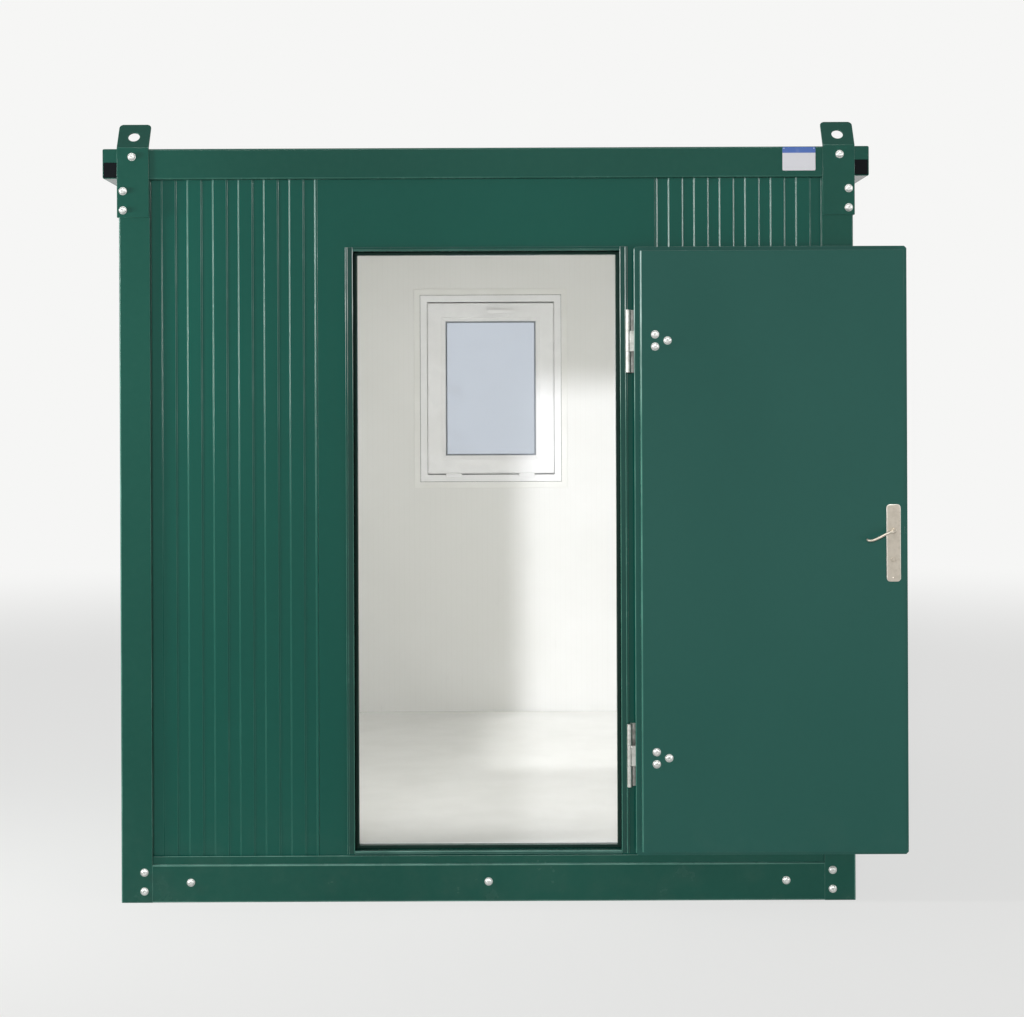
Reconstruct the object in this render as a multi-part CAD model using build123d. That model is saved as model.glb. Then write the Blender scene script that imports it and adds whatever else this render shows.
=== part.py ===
from build123d import *
import math
import os

# Portable site cabin: a bolted steel frame with insulated panels, one outward door, one window.
# Millimetres. Origin on the ground under the middle of the cabin, +Z up, +X to the right of someone
# who faces the door, and the door wall on the -Y side. The door stands open, flat against its wall.

# ---------------------------------------------------------------- steel frame
cabin_width = 2450.0            # over the corner posts, along X
cabin_length = 3010.0           # over the corner posts, along Y
frame_height = 2515.0           # ground to the top of the roof rails
frame_gauge = 4.0               # steel thickness of posts and rails
post_face = 104.0               # width of each face of a corner post
post_lip = 4.0                  # thickness of the lip folded in at each post edge
base_rail_height = 126.0
roof_rail_height = 102.0
roof_top_flange = 60.0
track_height = 27.0             # upstand on the base rail that holds the panel feet
track_setback = 8.0
deck_bearing = 5.0              # the floor deck rests this far on the base rail flanges
tongue_length = 60.0            # rail end tongue bolted behind a post face
tongue_thickness = 6.0
tongue_margin = 20.0            # free height above and below a tongue
joist_width = 40.0
joist_wall = 4.0
joist_count = 5
cut_margin = 1.0                # cutting solids run this far past the faces they open

# ---------------------------------------------------------------- roof
gutter_width = 53.0             # the side gutters stand out past the posts
gutter_gauge = 3.0
gutter_drop = 3.0               # gutter underside above the roof rail underside
gutter_flap = 45.0              # upper part of a gutter end, folded shut
gutter_plug_length = 30.0
ceiling_thickness = 60.0
roof_sheet_gauge = 1.5
roof_rib_height = 20.0
roof_rib_pitch = 250.0
roof_rib_crown = 40.0
roof_rib_slope = 15.0

# ---------------------------------------------------------------- walls and floor
panel_thickness = 60.0
panel_setback = 15.0            # panel face behind the post face
module_margin = 130.5           # a wall module stands past the doorway's clear width, each side
panel_joint = 1.0               # open line between two neighbouring panels
rib_pitch = 85.3
rib_band = 42.6                 # width of a recessed band
rib_depth = 2.5
rib_slope = 4.0
first_band = 5.5                # first recessed band from the door module's edge
floor_covering = 2.0
floor_level = 180.0

# ---------------------------------------------------------------- doorway
door_clear_width = 868.0
door_clear_bottom = 178.5
door_clear_top = 2160.0
stop_width = 12.0               # face of the door stop at the sides
stop_head = 11.0
stop_sill = 10.0
frame_side_face = 25.0          # door frame face outside the rebate, at the sides
frame_head_face = 13.0
frame_rim = 7.0                 # raised outer rim of the door frame
frame_rim_height = 4.0
frame_proud = 10.0              # rim face in front of the panel face
frame_steel = 2.0
lever_past_corner = 117.0       # the open leaf's lever hangs this far outside the cabin's corner
stop_depth = 45.0               # from the rim face back to the stop
inner_flange = 50.0             # door frame flange on the inner wall face
sill_nose_bottom = 158.0
seal_thickness = 5.0

# ---------------------------------------------------------------- door leaf
leaf_clearance = 5.0            # between the closed leaf and the frame, front and seal
leaf_side_gap = 10.75
leaf_bottom_gap = 8.0
leaf_top_gap = 7.0
leaf_thickness = 40.0
lip_thickness = 4.0
lip_side = 18.0                 # the outer skin stands past the leaf body
lip_top = 16.0
lip_bottom = 18.5
lip_clip = 8.0
pin_beyond_lip = 18.75          # hinge pin axis from the closed lip's edge
pin_before_lip = 8.0            # hinge pin axis in front of the closed lip's face

# ---------------------------------------------------------------- hinges
hinge_heights = (487.0, 1867.0)
hinge_height = 209.0
knuckle_radius = 9.0
knuckle_gap = 1.0
pin_radius = 4.0
pin_clearance = 0.05
strap_pin_gap = 2.0             # between the door-side strap and the pin
hinge_plate = 5.0               # thickness of the hinge plates
hinge_plate_reach = 60.0        # wall-side plate, outwards from the pin
strap_reach = 147.0             # door-side plate, inwards from the pin
web_thickness = 6.0

# ---------------------------------------------------------------- lock and lever
lock_backset = 37.25            # spindle from the leaf body's lock edge
spindle_height = 1236.0
spindle_radius = 5.0
spindle_leaf_clearance = 1.0
handle_plate_width = 47.0
handle_plate_height = 256.0
handle_plate_centre = 1195.5
handle_plate_thickness = 8.0
handle_plate_corner = 12.0
cylinder_height = 1141.0
cylinder_radius = 8.5
cylinder_clearance = 0.5
cylinder_proud = 3.0
lever_length = 98.0
lever_droop = 14.0              # degrees below level at rest
lever_projection = 46.0         # grip centre line from the handle plate
lever_radius = 6.0
lever_return = 26.0
lever_bend = 12.0
lever_collar_radius = 9.0
lever_collar_length = 12.0
lever_running_gap = 0.3
faceplate_width = 24.0
faceplate_height = 235.0
faceplate_thickness = 3.0
latch_height = 28.0
latch_proud = 3.0

# ---------------------------------------------------------------- lifting brackets and bolts
bracket_width = 107.0
bracket_overlap = 5.0           # the bracket face wraps past the post's side
bracket_thickness = 5.0
bracket_drop = 229.0            # the bracket face reaches this far below the top of the frame
bracket_rise = 4.0              # bend line above the top of the frame
bracket_side_depth = 85.0
bracket_side_gap = 5.0          # side flange stops below the gutter
bracket_tongue = 102.0          # bent-back part, along the plate
bracket_tilt = 34.0             # degrees back from upright
bracket_corner = 15.0
lifting_hole_radius = 19.0
lifting_hole_from_bend = 47.0
bolt_radius = 13.5
bolt_dome = 8.0
post_bolt_inset = 77.0          # base bolts from the cabin's corner
post_bolt_heights = (38.0, 101.0)
rail_bolt_height = 67.0
rail_bolt_post_gap = 128.0      # outer bolts of the front and back rails, from the post's edge
rail_bolt_spacing = 993.0       # bolts of the side rails
bracket_bolt_edge = 20.0        # lower bracket bolts from the bracket's outer edge
bracket_bolt_drops = (205.0, 141.0)    # below the top of the frame
bracket_top_bolt_edge = 50.0
bracket_top_bolt_drop = 27.0
bracket_side_bolt_edge = 55.0

# ---------------------------------------------------------------- window in the back wall
window_centre_height = 1733.5
window_frame_width = 675.0
window_frame_height = 895.0
window_frame_clearance = 2.0    # round the frame, in the panel's cut-out
window_trim_width = 30.5        # flange on the inner wall face
window_trim_thickness = 5.0
sash_width = 606.0
sash_height = 818.0
sash_clearance = 2.0
sash_depth = 50.0
sash_proud = 10.0               # sash in front of the inner wall face
window_stop = 15.0              # outer stop that the sash closes on
glass_width = 427.0             # visible width between the glazing beads
glass_height = 640.0
glass_thickness = 24.0
glass_bite = 12.0               # glass edge held inside the sash
glass_setback = 18.0            # glass behind the sash's inner face
window_handle_drop = 43.0       # handle below the sash's top edge
window_handle_plate = (64.0, 10.0, 28.0)
window_handle_neck_radius = 7.0
window_handle_neck = 22.0
window_lever = (125.0, 12.0, 17.0)

# ---------------------------------------------------------------- places worked out from the sizes
half_width = cabin_width / 2
half_length = cabin_length / 2
rail_flange = panel_setback + panel_thickness + deck_bearing
post_inner_x = half_width - post_face
post_inner_y = half_length - post_face
panel_face_x = half_width - panel_setback
panel_face_y = half_length - panel_setback
room_half_x = panel_face_x - panel_thickness
room_half_y = panel_face_y - panel_thickness
wall_bottom = base_rail_height
wall_top = frame_height - roof_rail_height
module_width = door_clear_width + 2 * module_margin
clear_half = door_clear_width / 2
rebate_half = clear_half + stop_width
rebate_top = door_clear_top + stop_head
rebate_bottom = door_clear_bottom - stop_sill
frame_outer_half = rebate_half + frame_side_face
frame_outer_top = rebate_top + frame_head_face
rim_face_y = -panel_face_y - frame_proud
stop_face_y = rim_face_y + stop_depth
seal_face_y = stop_face_y - seal_thickness
lip_back_y = rim_face_y - leaf_clearance
lip_face_y = lip_back_y - lip_thickness
leaf_inner_y = lip_back_y + leaf_thickness
body_half = rebate_half - leaf_side_gap
body_bottom = rebate_bottom + leaf_bottom_gap
body_top = rebate_top - leaf_top_gap
lip_half = body_half + lip_side
pin_x = lip_half + pin_beyond_lip
pin_y = lip_face_y - pin_before_lip
spindle_x = -body_half + lock_backset
open_lever_x = 2 * pin_x - spindle_x
doorway_from_corner = open_lever_x - lever_past_corner
doorway_x = half_width - doorway_from_corner


def block(x_low, x_high, y_low, y_high, z_low, z_high):
    """Square-edged solid between two corners."""
    size = Box(x_high - x_low, y_high - y_low, z_high - z_low)
    return Pos((x_low + x_high) / 2, (y_low + y_high) / 2, (z_low + z_high) / 2) * size


def ring(width, height, hole_width, hole_height, y_low, y_high, centre_z):
    """Upright rectangular ring, centred on X = 0, between two Y planes."""
    outer = block(-width / 2, width / 2, y_low, y_high, centre_z - height / 2, centre_z + height / 2)
    hole = block(
        -hole_width / 2, hole_width / 2, y_low - cut_margin, y_high + cut_margin,
        centre_z - hole_height / 2, centre_z + hole_height / 2,
    )
    return outer - hole


def four_corners(name, shape):
    """The shape for the front right corner, mirrored to all four corners."""
    back = mirror(shape, about=Plane.XZ)
    return {
        name + "_front_right": shape,
        name + "_front_left": mirror(shape, about=Plane.YZ),
        name + "_back_right": back,
        name + "_back_left": mirror(back, about=Plane.YZ),
    }


def opened(shape):
    """Turns a door piece from its closed place to its open place, half a turn about the hinge pin."""
    return Pos(pin_x, pin_y, 0) * Rot(0, 0, 180) * Pos(-pin_x, -pin_y, 0) * shape


# ================================================================ steel frame
def corner_post():
    """Folded corner post, front right: two faces, a lip at each edge and a foot plate."""
    face = block(post_inner_x, half_width, -half_length, -half_length + frame_gauge, 0, wall_top)
    side = block(half_width - frame_gauge, half_width, -half_length, -post_inner_y, 0, wall_top)
    face_lip = block(
        post_inner_x, post_inner_x + post_lip, -half_length, -panel_face_y, wall_bottom, wall_top,
    )
    side_lip = block(
        panel_face_x, half_width, -post_inner_y - post_lip, -post_inner_y, wall_bottom, wall_top,
    )
    foot = block(post_inner_x, half_width, -half_length, -post_inner_y, 0, frame_gauge)
    return face + side + face_lip + side_lip + foot


def base_rail(half_span, face):
    """Channel along the ground with a panel track on top; its web faces -Y."""
    web = block(-half_span, half_span, -face, -face + frame_gauge, 0, base_rail_height)
    bottom = block(-half_span, half_span, -face, -face + rail_flange, 0, frame_gauge)
    top = block(
        -half_span, half_span, -face, -face + rail_flange, base_rail_height - frame_gauge, base_rail_height,
    )
    track_y = -face + track_setback
    track = block(
        -half_span, half_span, track_y, track_y + frame_gauge,
        base_rail_height - frame_gauge, base_rail_height + track_height,
    )
    rail = web + bottom + top + track
    for side in (-1, 1):
        ends = sorted((side * (half_span - tongue_length), side * (half_span + tongue_length)))
        rail += block(
            ends[0], ends[1], -face + frame_gauge, -face + frame_gauge + tongue_thickness,
            tongue_margin, base_rail_height - tongue_margin,
        )
    return rail


def roof_rail_front():
    """Channel across the top of the front; its web faces -Y."""
    inner = -half_length
    web = block(-half_width, half_width, inner, inner + frame_gauge, wall_top, frame_height)
    bottom = block(-half_width, half_width, inner, inner + rail_flange, wall_top, wall_top + frame_gauge)
    top = block(
        -half_width, half_width, inner, inner + roof_top_flange, frame_height - frame_gauge, frame_height,
    )
    return web + bottom + top


def roof_rail_right():
    """Channel along the right-hand side of the roof with the box gutter on its outer face."""
    reach = half_length - rail_flange
    web = block(half_width - frame_gauge, half_width, -reach, reach, wall_top, frame_height)
    bottom = block(half_width - rail_flange, half_width, -reach, reach, wall_top, wall_top + frame_gauge)
    top = block(
        half_width - roof_top_flange, half_width, -reach, reach, frame_height - frame_gauge, frame_height,
    )
    outer = half_width + gutter_width
    low = wall_top + gutter_drop
    box = block(half_width, outer, -half_length, half_length, low, frame_height)
    hollow = block(
        half_width + gutter_gauge, outer - gutter_gauge,
        -half_length - cut_margin, half_length + cut_margin,
        low + gutter_gauge, frame_height - gutter_gauge,
    )
    rail = web + bottom + top + (box - hollow)
    for end in (-half_length, half_length - gutter_gauge):
        rail += block(half_width, outer, end, end + gutter_gauge, frame_height - gutter_flap, frame_height)
    return rail


def gutter_plugs():
    """Four moulded plugs, one in each open gutter end."""
    plug = block(
        half_width + gutter_gauge, half_width + gutter_width - gutter_gauge,
        -half_length, -half_length + gutter_plug_length,
        wall_top + gutter_drop + gutter_gauge, frame_height - gutter_flap,
    )
    return Compound(list(four_corners("plug", plug).values()))


def floor_joists():
    """Box-section joists across the floor, welded between the side rails' flanges."""
    reach = half_width - rail_flange
    spacing = cabin_length / (joist_count + 1)
    joists = []
    for number in range(joist_count):
        centre = (number - (joist_count - 1) / 2) * spacing
        near = centre - joist_width / 2
        far = centre + joist_width / 2
        outside = block(-reach, reach, near, far, 0, base_rail_height)
        inside = block(
            -reach - cut_margin, reach + cut_margin, near + joist_wall, far - joist_wall,
            joist_wall, base_rail_height - joist_wall,
        )
        joists.append(outside - inside)
    return Compound(joists)


# ================================================================ roof, floor and walls
def roof_sheet():
    """Ribbed steel roof sheet lying on the ceiling panel, between the roof rails."""
    half = half_width - frame_gauge
    base = wall_top + frame_gauge + ceiling_thickness
    count = int((2 * half - roof_rib_crown) // roof_rib_pitch)
    upper = [(-half, base + roof_sheet_gauge)]
    for number in range(count):
        centre = (number - (count - 1) / 2) * roof_rib_pitch
        foot = roof_rib_crown / 2 + roof_rib_slope
        upper += [
            (centre - foot, base + roof_sheet_gauge),
            (centre - roof_rib_crown / 2, base + roof_sheet_gauge + roof_rib_height),
            (centre + roof_rib_crown / 2, base + roof_sheet_gauge + roof_rib_height),
            (centre + foot, base + roof_sheet_gauge),
        ]
    upper.append((half, base + roof_sheet_gauge))
    lower = [(x, z - roof_sheet_gauge) for x, z in reversed(upper)]
    outline = [(x, 0, z) for x, z in upper + lower]
    section = make_face(Polyline(*outline, close=True))
    reach = half_length - frame_gauge
    return extrude(Pos(0, -reach, 0) * section, amount=2 * reach, dir=(0, 1, 0))


def ceiling_panel():
    """Insulated ceiling resting on the roof rails' lower flanges."""
    x_reach = half_width - frame_gauge
    y_reach = half_length - frame_gauge
    base = wall_top + frame_gauge
    return block(-x_reach, x_reach, -y_reach, y_reach, base, base + ceiling_thickness)


def wall_panel(x_start, x_end, bands):
    """Upright sandwich panel; outer face on local Y = 0, looking to -Y, with recessed bands."""
    outline = [(x_start, panel_thickness), (x_start, 0)]
    for start in bands:
        outline += [
            (start, 0),
            (start + rib_slope, rib_depth),
            (start + rib_band - rib_slope, rib_depth),
            (start + rib_band, 0),
        ]
    outline += [(x_end, 0), (x_end, panel_thickness)]
    section = make_face(Polyline(*outline, close=True))
    return Pos(0, 0, wall_bottom) * extrude(section, amount=wall_top - wall_bottom, dir=(0, 0, 1))


def band_starts(count, centre):
    """Starts of a row of recessed bands, centred on one place."""
    row = (count - 1) * rib_pitch + rib_band
    return [centre - row / 2 + number * rib_pitch for number in range(count)]


def bands_in(width):
    """How many whole recessed bands fit in a panel's width."""
    return int((width - rib_band) // rib_pitch) + 1


def end_panel(corner):
    """Ribbed panel of the front from a module's edge to the right-hand post, about the module's middle."""
    start = module_width / 2 + panel_joint / 2
    end = corner - panel_setback - panel_thickness
    first = module_width / 2 + first_band
    count = bands_in(corner - post_face + post_lip - first)
    bands = [first + number * rib_pitch for number in range(count)]
    return Pos(0, -panel_face_y, 0) * wall_panel(start, end, bands)


def back_window_panel():
    """Ribbed module with the window's cut-out, in the middle of the back wall."""
    reach = module_width / 2 - panel_joint / 2
    panel = wall_panel(-reach, reach, band_starts(bands_in(module_width), 0))
    panel = Rot(0, 0, 180) * Pos(0, -panel_face_y, 0) * panel
    width = window_frame_width + 2 * window_frame_clearance
    height = window_frame_height + 2 * window_frame_clearance
    return panel - block(
        -width / 2, width / 2, room_half_y - cut_margin, panel_face_y + cut_margin,
        window_centre_height - height / 2, window_centre_height + height / 2,
    )


def side_wall():
    """Three ribbed panels of the right-hand wall: long, short and long, as separate solids."""
    short_half = module_width / 4
    gap = panel_joint / 2
    long_visible = post_inner_y - short_half
    short = wall_panel(-short_half + gap, short_half - gap, band_starts(bands_in(2 * short_half), 0))
    middle = short_half + long_visible / 2
    near_bands = band_starts(bands_in(long_visible), -middle)
    far_bands = band_starts(bands_in(long_visible), middle)
    near = wall_panel(-panel_face_y, -short_half - gap, near_bands)
    far = wall_panel(short_half + gap, panel_face_y, far_bands)
    turn = Rot(0, 0, 90) * Pos(0, -panel_face_x, 0)
    return Compound([turn * near, turn * short, turn * far])


def door_surround_right():
    """Flat strip between the door frame and the ribbed panel."""
    return block(
        rebate_half + frame_steel, module_width / 2 - panel_joint / 2,
        -panel_face_y, -room_half_y, wall_bottom, wall_top,
    )


def door_surround_top():
    """Flat panel over the doorway."""
    reach = rebate_half + frame_steel
    return block(-reach, reach, -panel_face_y, -room_half_y, rebate_top + frame_steel, wall_top)


# ================================================================ doorway, about its own middle
def jamb_right():
    """Folded steel jamb: raised rim, seat, rebate, stop and inner flange."""
    steel = frame_steel
    low = sill_nose_bottom
    high = frame_outer_top
    outer = frame_outer_half
    seat_y = rim_face_y + frame_rim_height
    inner_top = door_clear_top + inner_flange
    jamb = block(outer - steel, outer, rim_face_y, -panel_face_y, low, high)
    jamb += block(outer - frame_rim, outer, rim_face_y, rim_face_y + steel, low, high)
    jamb += block(outer - frame_rim, outer - frame_rim + steel, rim_face_y, seat_y + steel, low, high)
    jamb += block(rebate_half, outer - frame_rim + steel, seat_y, seat_y + steel, low, high)
    jamb += block(rebate_half, rebate_half + steel, seat_y, stop_face_y + steel, low, rebate_top)
    jamb += block(clear_half, rebate_half + steel, stop_face_y, stop_face_y + steel, wall_bottom, rebate_top)
    jamb += block(clear_half, clear_half + steel, stop_face_y, -room_half_y, wall_bottom, rebate_top)
    jamb += block(
        clear_half, clear_half + inner_flange, -room_half_y, -room_half_y + steel, floor_level, inner_top,
    )
    return jamb


def door_head():
    """Folded steel head of the door frame, between the jambs."""
    steel = frame_steel
    low = rebate_top
    high = frame_outer_top
    seat_y = rim_face_y + frame_rim_height
    wide = rebate_half
    inner_top = door_clear_top + inner_flange
    head = block(-wide, wide, rim_face_y, -panel_face_y, high - steel, high)
    head += block(-wide, wide, rim_face_y, rim_face_y + steel, high - frame_rim, high)
    head += block(
        -wide, wide, rim_face_y, seat_y + steel, high - frame_rim, high - frame_rim + steel,
    )
    head += block(-wide, wide, seat_y, seat_y + steel, low, high - frame_rim + steel)
    head += block(-wide, wide, seat_y, stop_face_y, low, low + steel)
    head += block(-clear_half, clear_half, stop_face_y, stop_face_y + steel, door_clear_top, low + steel)
    head += block(
        -clear_half, clear_half, stop_face_y, -room_half_y, door_clear_top, door_clear_top + steel,
    )
    head += block(
        -clear_half, clear_half, -room_half_y, -room_half_y + steel, door_clear_top, inner_top,
    )
    return head


def door_threshold():
    """Stepped sill on the base rail, with a nose over the panel track."""
    front = block(-rebate_half, rebate_half, -panel_face_y, stop_face_y, wall_bottom, rebate_bottom)
    back = block(-clear_half, clear_half, stop_face_y, -room_half_y, wall_bottom, door_clear_bottom)
    nose = block(-rebate_half, rebate_half, rim_face_y, -panel_face_y, sill_nose_bottom, rebate_bottom)
    return front + back + nose


def door_seal():
    """Rubber seal on the stop, all round the doorway."""
    outer = block(-rebate_half, rebate_half, seal_face_y, stop_face_y, rebate_bottom, rebate_top)
    inner = block(
        -clear_half, clear_half, seal_face_y - cut_margin, stop_face_y + cut_margin,
        door_clear_bottom, door_clear_top,
    )
    return outer - inner


# ================================================================ door leaf, hinges and lock, the same way
def door_leaf():
    """Insulated steel leaf: body inside the rebate, outer skin lapping over the frame."""
    body = block(-body_half, body_half, lip_back_y, leaf_inner_y, body_bottom, body_top)
    skin_low = body_bottom - lip_bottom
    skin_high = body_top + lip_top
    skin = block(-lip_half, lip_half, lip_face_y, lip_back_y, skin_low, skin_high)
    skin = chamfer(skin.edges().filter_by(Axis.Y), lip_clip)
    leaf = body + skin
    middle_y = (lip_face_y + leaf_inner_y) / 2
    depth = leaf_inner_y - lip_face_y + 2 * cut_margin
    turn = Rot(90, 0, 0)
    leaf -= Pos(spindle_x, middle_y, spindle_height) * turn * Cylinder(
        spindle_radius + spindle_leaf_clearance, depth)
    leaf -= Pos(spindle_x, middle_y, cylinder_height) * turn * Cylinder(
        cylinder_radius + cylinder_clearance, depth)
    leaf -= faceplate_space()
    return opened(leaf)


def faceplate_space():
    """Room of the lock's faceplate in the leaf's lock edge, with the door closed."""
    middle_y = (lip_back_y + leaf_inner_y) / 2
    return block(
        -body_half, -body_half + faceplate_thickness,
        middle_y - faceplate_width / 2, middle_y + faceplate_width / 2,
        handle_plate_centre - faceplate_height / 2, handle_plate_centre + faceplate_height / 2,
    )


def lock_faceplate():
    """Faceplate in the leaf's edge with the latch tongue drawn back in it."""
    middle_y = (lip_back_y + leaf_inner_y) / 2
    tongue = block(
        -body_half - latch_proud, -body_half, middle_y - faceplate_width / 4,
        middle_y + faceplate_width / 4,
        spindle_height - latch_height / 2, spindle_height + latch_height / 2,
    )
    return opened(faceplate_space() + tongue)


def rounded_plate(width, height, thickness, corner):
    """Upright plate with rounded corners, back on local Y = 0, growing to +Y."""
    face = RectangleRounded(width, height, corner)
    return extrude(Rot(90, 0, 0) * face, amount=thickness, dir=(0, 1, 0))


def handle_plates():
    """Inner and outer handle plates, tied by the key cylinder through the leaf."""
    plate = rounded_plate(
        handle_plate_width, handle_plate_height, handle_plate_thickness, handle_plate_corner)
    inner = Pos(spindle_x, leaf_inner_y, handle_plate_centre) * plate
    outer = Pos(spindle_x, lip_face_y - handle_plate_thickness, handle_plate_centre) * plate
    low = lip_face_y - handle_plate_thickness - cylinder_proud
    high = leaf_inner_y + handle_plate_thickness + cylinder_proud
    turn = Rot(90, 0, 0)
    middle_y = (low + high) / 2
    cylinder = Pos(spindle_x, middle_y, cylinder_height) * turn * Cylinder(cylinder_radius, high - low)
    plates = inner + outer + cylinder
    plates -= Pos(spindle_x, middle_y, spindle_height) * turn * Cylinder(
        spindle_radius + pin_clearance, high - low)
    return opened(plates)


def lever_arm(direction):
    """One bent lever from the plate outwards, along to the hinge side, and back at its end."""
    droop = math.radians(lever_droop)
    run = lever_length * math.cos(droop)
    drop = lever_length * math.sin(droop)
    points = [
        (0, direction * lever_running_gap, 0),
        (0, direction * lever_projection, 0),
        (run, direction * lever_projection, -drop),
        (run, direction * (lever_projection - lever_return), -drop),
    ]
    path = FilletPolyline(*points, radius=lever_bend)
    start = Plane(origin=points[0], z_dir=(0, direction, 0))
    arm = sweep(start * Circle(lever_radius), path=path)
    middle = direction * (lever_running_gap + lever_collar_length / 2)
    collar = Pos(0, middle, 0) * Rot(90, 0, 0) * Cylinder(lever_collar_radius, lever_collar_length)
    return arm + collar


def door_lever():
    """Inner and outer levers on one spindle through the lock."""
    inner_y = leaf_inner_y + handle_plate_thickness
    outer_y = lip_face_y - handle_plate_thickness
    inner = Pos(spindle_x, inner_y, spindle_height) * lever_arm(1)
    outer = Pos(spindle_x, outer_y, spindle_height) * lever_arm(-1)
    length = inner_y - outer_y + 2 * lever_collar_length
    middle_y = (inner_y + outer_y) / 2
    spindle = Pos(spindle_x, middle_y, spindle_height) * Rot(90, 0, 0) * Cylinder(spindle_radius, length)
    return opened(inner + outer + spindle)


def wall_hinge(height):
    """Wall-side half of one hinge: plate on the surround, two knuckles and the pin."""
    low = height - hinge_height / 2
    third = hinge_height / 3
    web_near = pin_x + web_thickness / 2
    plate = block(
        web_near, pin_x + hinge_plate_reach,
        -panel_face_y - hinge_plate, -panel_face_y, low, low + hinge_height,
    )
    half = plate + Pos(pin_x, pin_y, height) * Cylinder(pin_radius, hinge_height)
    for bottom in (low, low + 2 * third):
        middle = bottom + third / 2
        half += Pos(pin_x, pin_y, middle) * Cylinder(knuckle_radius, third)
        half += block(
            web_near, web_near + web_thickness, pin_y, -panel_face_y - hinge_plate, bottom, bottom + third)
    return half


def door_hinge(height):
    """Door-side half of one hinge: the middle knuckle and a strap on the leaf's outer skin."""
    tall = hinge_height / 3 - 2 * knuckle_gap
    knuckle = Pos(pin_x, pin_y, height) * Cylinder(knuckle_radius, tall)
    strap = block(
        pin_x - strap_reach, pin_x - pin_radius - strap_pin_gap, lip_face_y - hinge_plate, lip_face_y,
        height - tall / 2, height + tall / 2,
    )
    bore = Pos(pin_x, pin_y, height) * Cylinder(pin_radius + pin_clearance, hinge_height)
    return opened(knuckle + strap - bore)


# ================================================================ lifting brackets and bolts
def lifting_bracket():
    """Bent lifting bracket of the front right corner, with its sling hole."""
    outer = half_width + bracket_overlap
    inner = outer - bracket_width
    face_y = -half_length - bracket_thickness
    bottom = frame_height - bracket_drop
    bend_height = frame_height + bracket_rise
    face = block(inner, outer, face_y, -half_length, bottom, bend_height)
    side = block(
        half_width, outer, face_y, face_y + bracket_side_depth,
        bottom, wall_top + gutter_drop - bracket_side_gap,
    )
    tilt = math.radians(bracket_tilt)
    middle = (inner + outer) / 2
    bend = Plane(
        origin=(middle, face_y, bend_height), x_dir=(1, 0, 0), z_dir=(0, -math.cos(tilt), math.sin(tilt)))
    tongue = Pos(0, bracket_tongue / 2) * Rectangle(bracket_width, bracket_tongue)
    tongue = fillet(tongue.vertices().group_by(Axis.Y)[-1], bracket_corner)
    tongue -= Pos(0, lifting_hole_from_bend) * Circle(lifting_hole_radius)
    return face + side + extrude(bend * tongue, amount=-bracket_thickness)


def bolt_head():
    """Domed bolt head standing on local Z = 0."""
    ball = (bolt_radius**2 + bolt_dome**2) / (2 * bolt_dome)
    dome = Pos(0, 0, bolt_dome - ball) * Sphere(ball)
    return dome & block(-ball, ball, -ball, ball, 0, ball)


def heads_on(origin, outward):
    """A bolt head on a face, looking outwards."""
    return Plane(origin=origin, z_dir=outward).location * bolt_head()


def corner_bolts():
    """Bolt heads of the front right corner: post feet and lifting bracket."""
    bracket_x = half_width + bracket_overlap
    bracket_y = -half_length - bracket_thickness
    heads = []
    for height in post_bolt_heights:
        heads.append(heads_on((half_width - post_bolt_inset, -half_length, height), (0, -1, 0)))
        heads.append(heads_on((half_width, -half_length + post_bolt_inset, height), (1, 0, 0)))
    for drop in bracket_bolt_drops:
        height = frame_height - drop
        heads.append(heads_on((bracket_x - bracket_bolt_edge, bracket_y, height), (0, -1, 0)))
        heads.append(heads_on((bracket_x, bracket_y + bracket_side_bolt_edge, height), (1, 0, 0)))
    top_bolt = (bracket_x - bracket_top_bolt_edge, bracket_y, frame_height - bracket_top_bolt_drop)
    heads.append(heads_on(top_bolt, (0, -1, 0)))
    return Compound(heads)


def frame_bolts():
    """All bolt heads of the frame, as separate solids."""
    heads = []
    for corner in four_corners("bolts", corner_bolts()).values():
        heads += list(corner.solids())
    front_reach = post_inner_x - rail_bolt_post_gap
    for number in (-1, 0, 1):
        heads.append(heads_on((number * front_reach, -half_length, rail_bolt_height), (0, -1, 0)))
        heads.append(heads_on((number * front_reach, half_length, rail_bolt_height), (0, 1, 0)))
        heads.append(heads_on((-half_width, number * rail_bolt_spacing, rail_bolt_height), (-1, 0, 0)))
        heads.append(heads_on((half_width, number * rail_bolt_spacing, rail_bolt_height), (1, 0, 0)))
    return Compound(heads)


# ================================================================ window
def window_frame():
    """Fixed frame in the panel's cut-out, with its trim flange on the inner wall face."""
    hole_width = sash_width + 2 * sash_clearance
    hole_height = sash_height + 2 * sash_clearance
    body = ring(
        window_frame_width, window_frame_height, hole_width, hole_height,
        room_half_y - window_trim_thickness, panel_face_y, window_centre_height,
    )
    trim = ring(
        window_frame_width + 2 * window_trim_width, window_frame_height + 2 * window_trim_width,
        hole_width, hole_height,
        room_half_y - window_trim_thickness, room_half_y, window_centre_height,
    )
    stop_y = room_half_y - sash_proud + sash_depth
    stop = ring(
        window_frame_width, window_frame_height,
        hole_width - 2 * window_stop, hole_height - 2 * window_stop,
        stop_y, panel_face_y, window_centre_height,
    )
    return body + trim + stop


def window_glass():
    """Sealed double glazing, held in the sash."""
    near = room_half_y - sash_proud + glass_setback
    width = glass_width + 2 * glass_bite
    height = glass_height + 2 * glass_bite
    return block(
        -width / 2, width / 2, near, near + glass_thickness,
        window_centre_height - height / 2, window_centre_height + height / 2,
    )


def window_sash():
    """Tilting sash, shut, round the glass."""
    near = room_half_y - sash_proud
    sash = ring(
        sash_width, sash_height, glass_width, glass_height, near, near + sash_depth, window_centre_height)
    return sash - window_glass()


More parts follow.
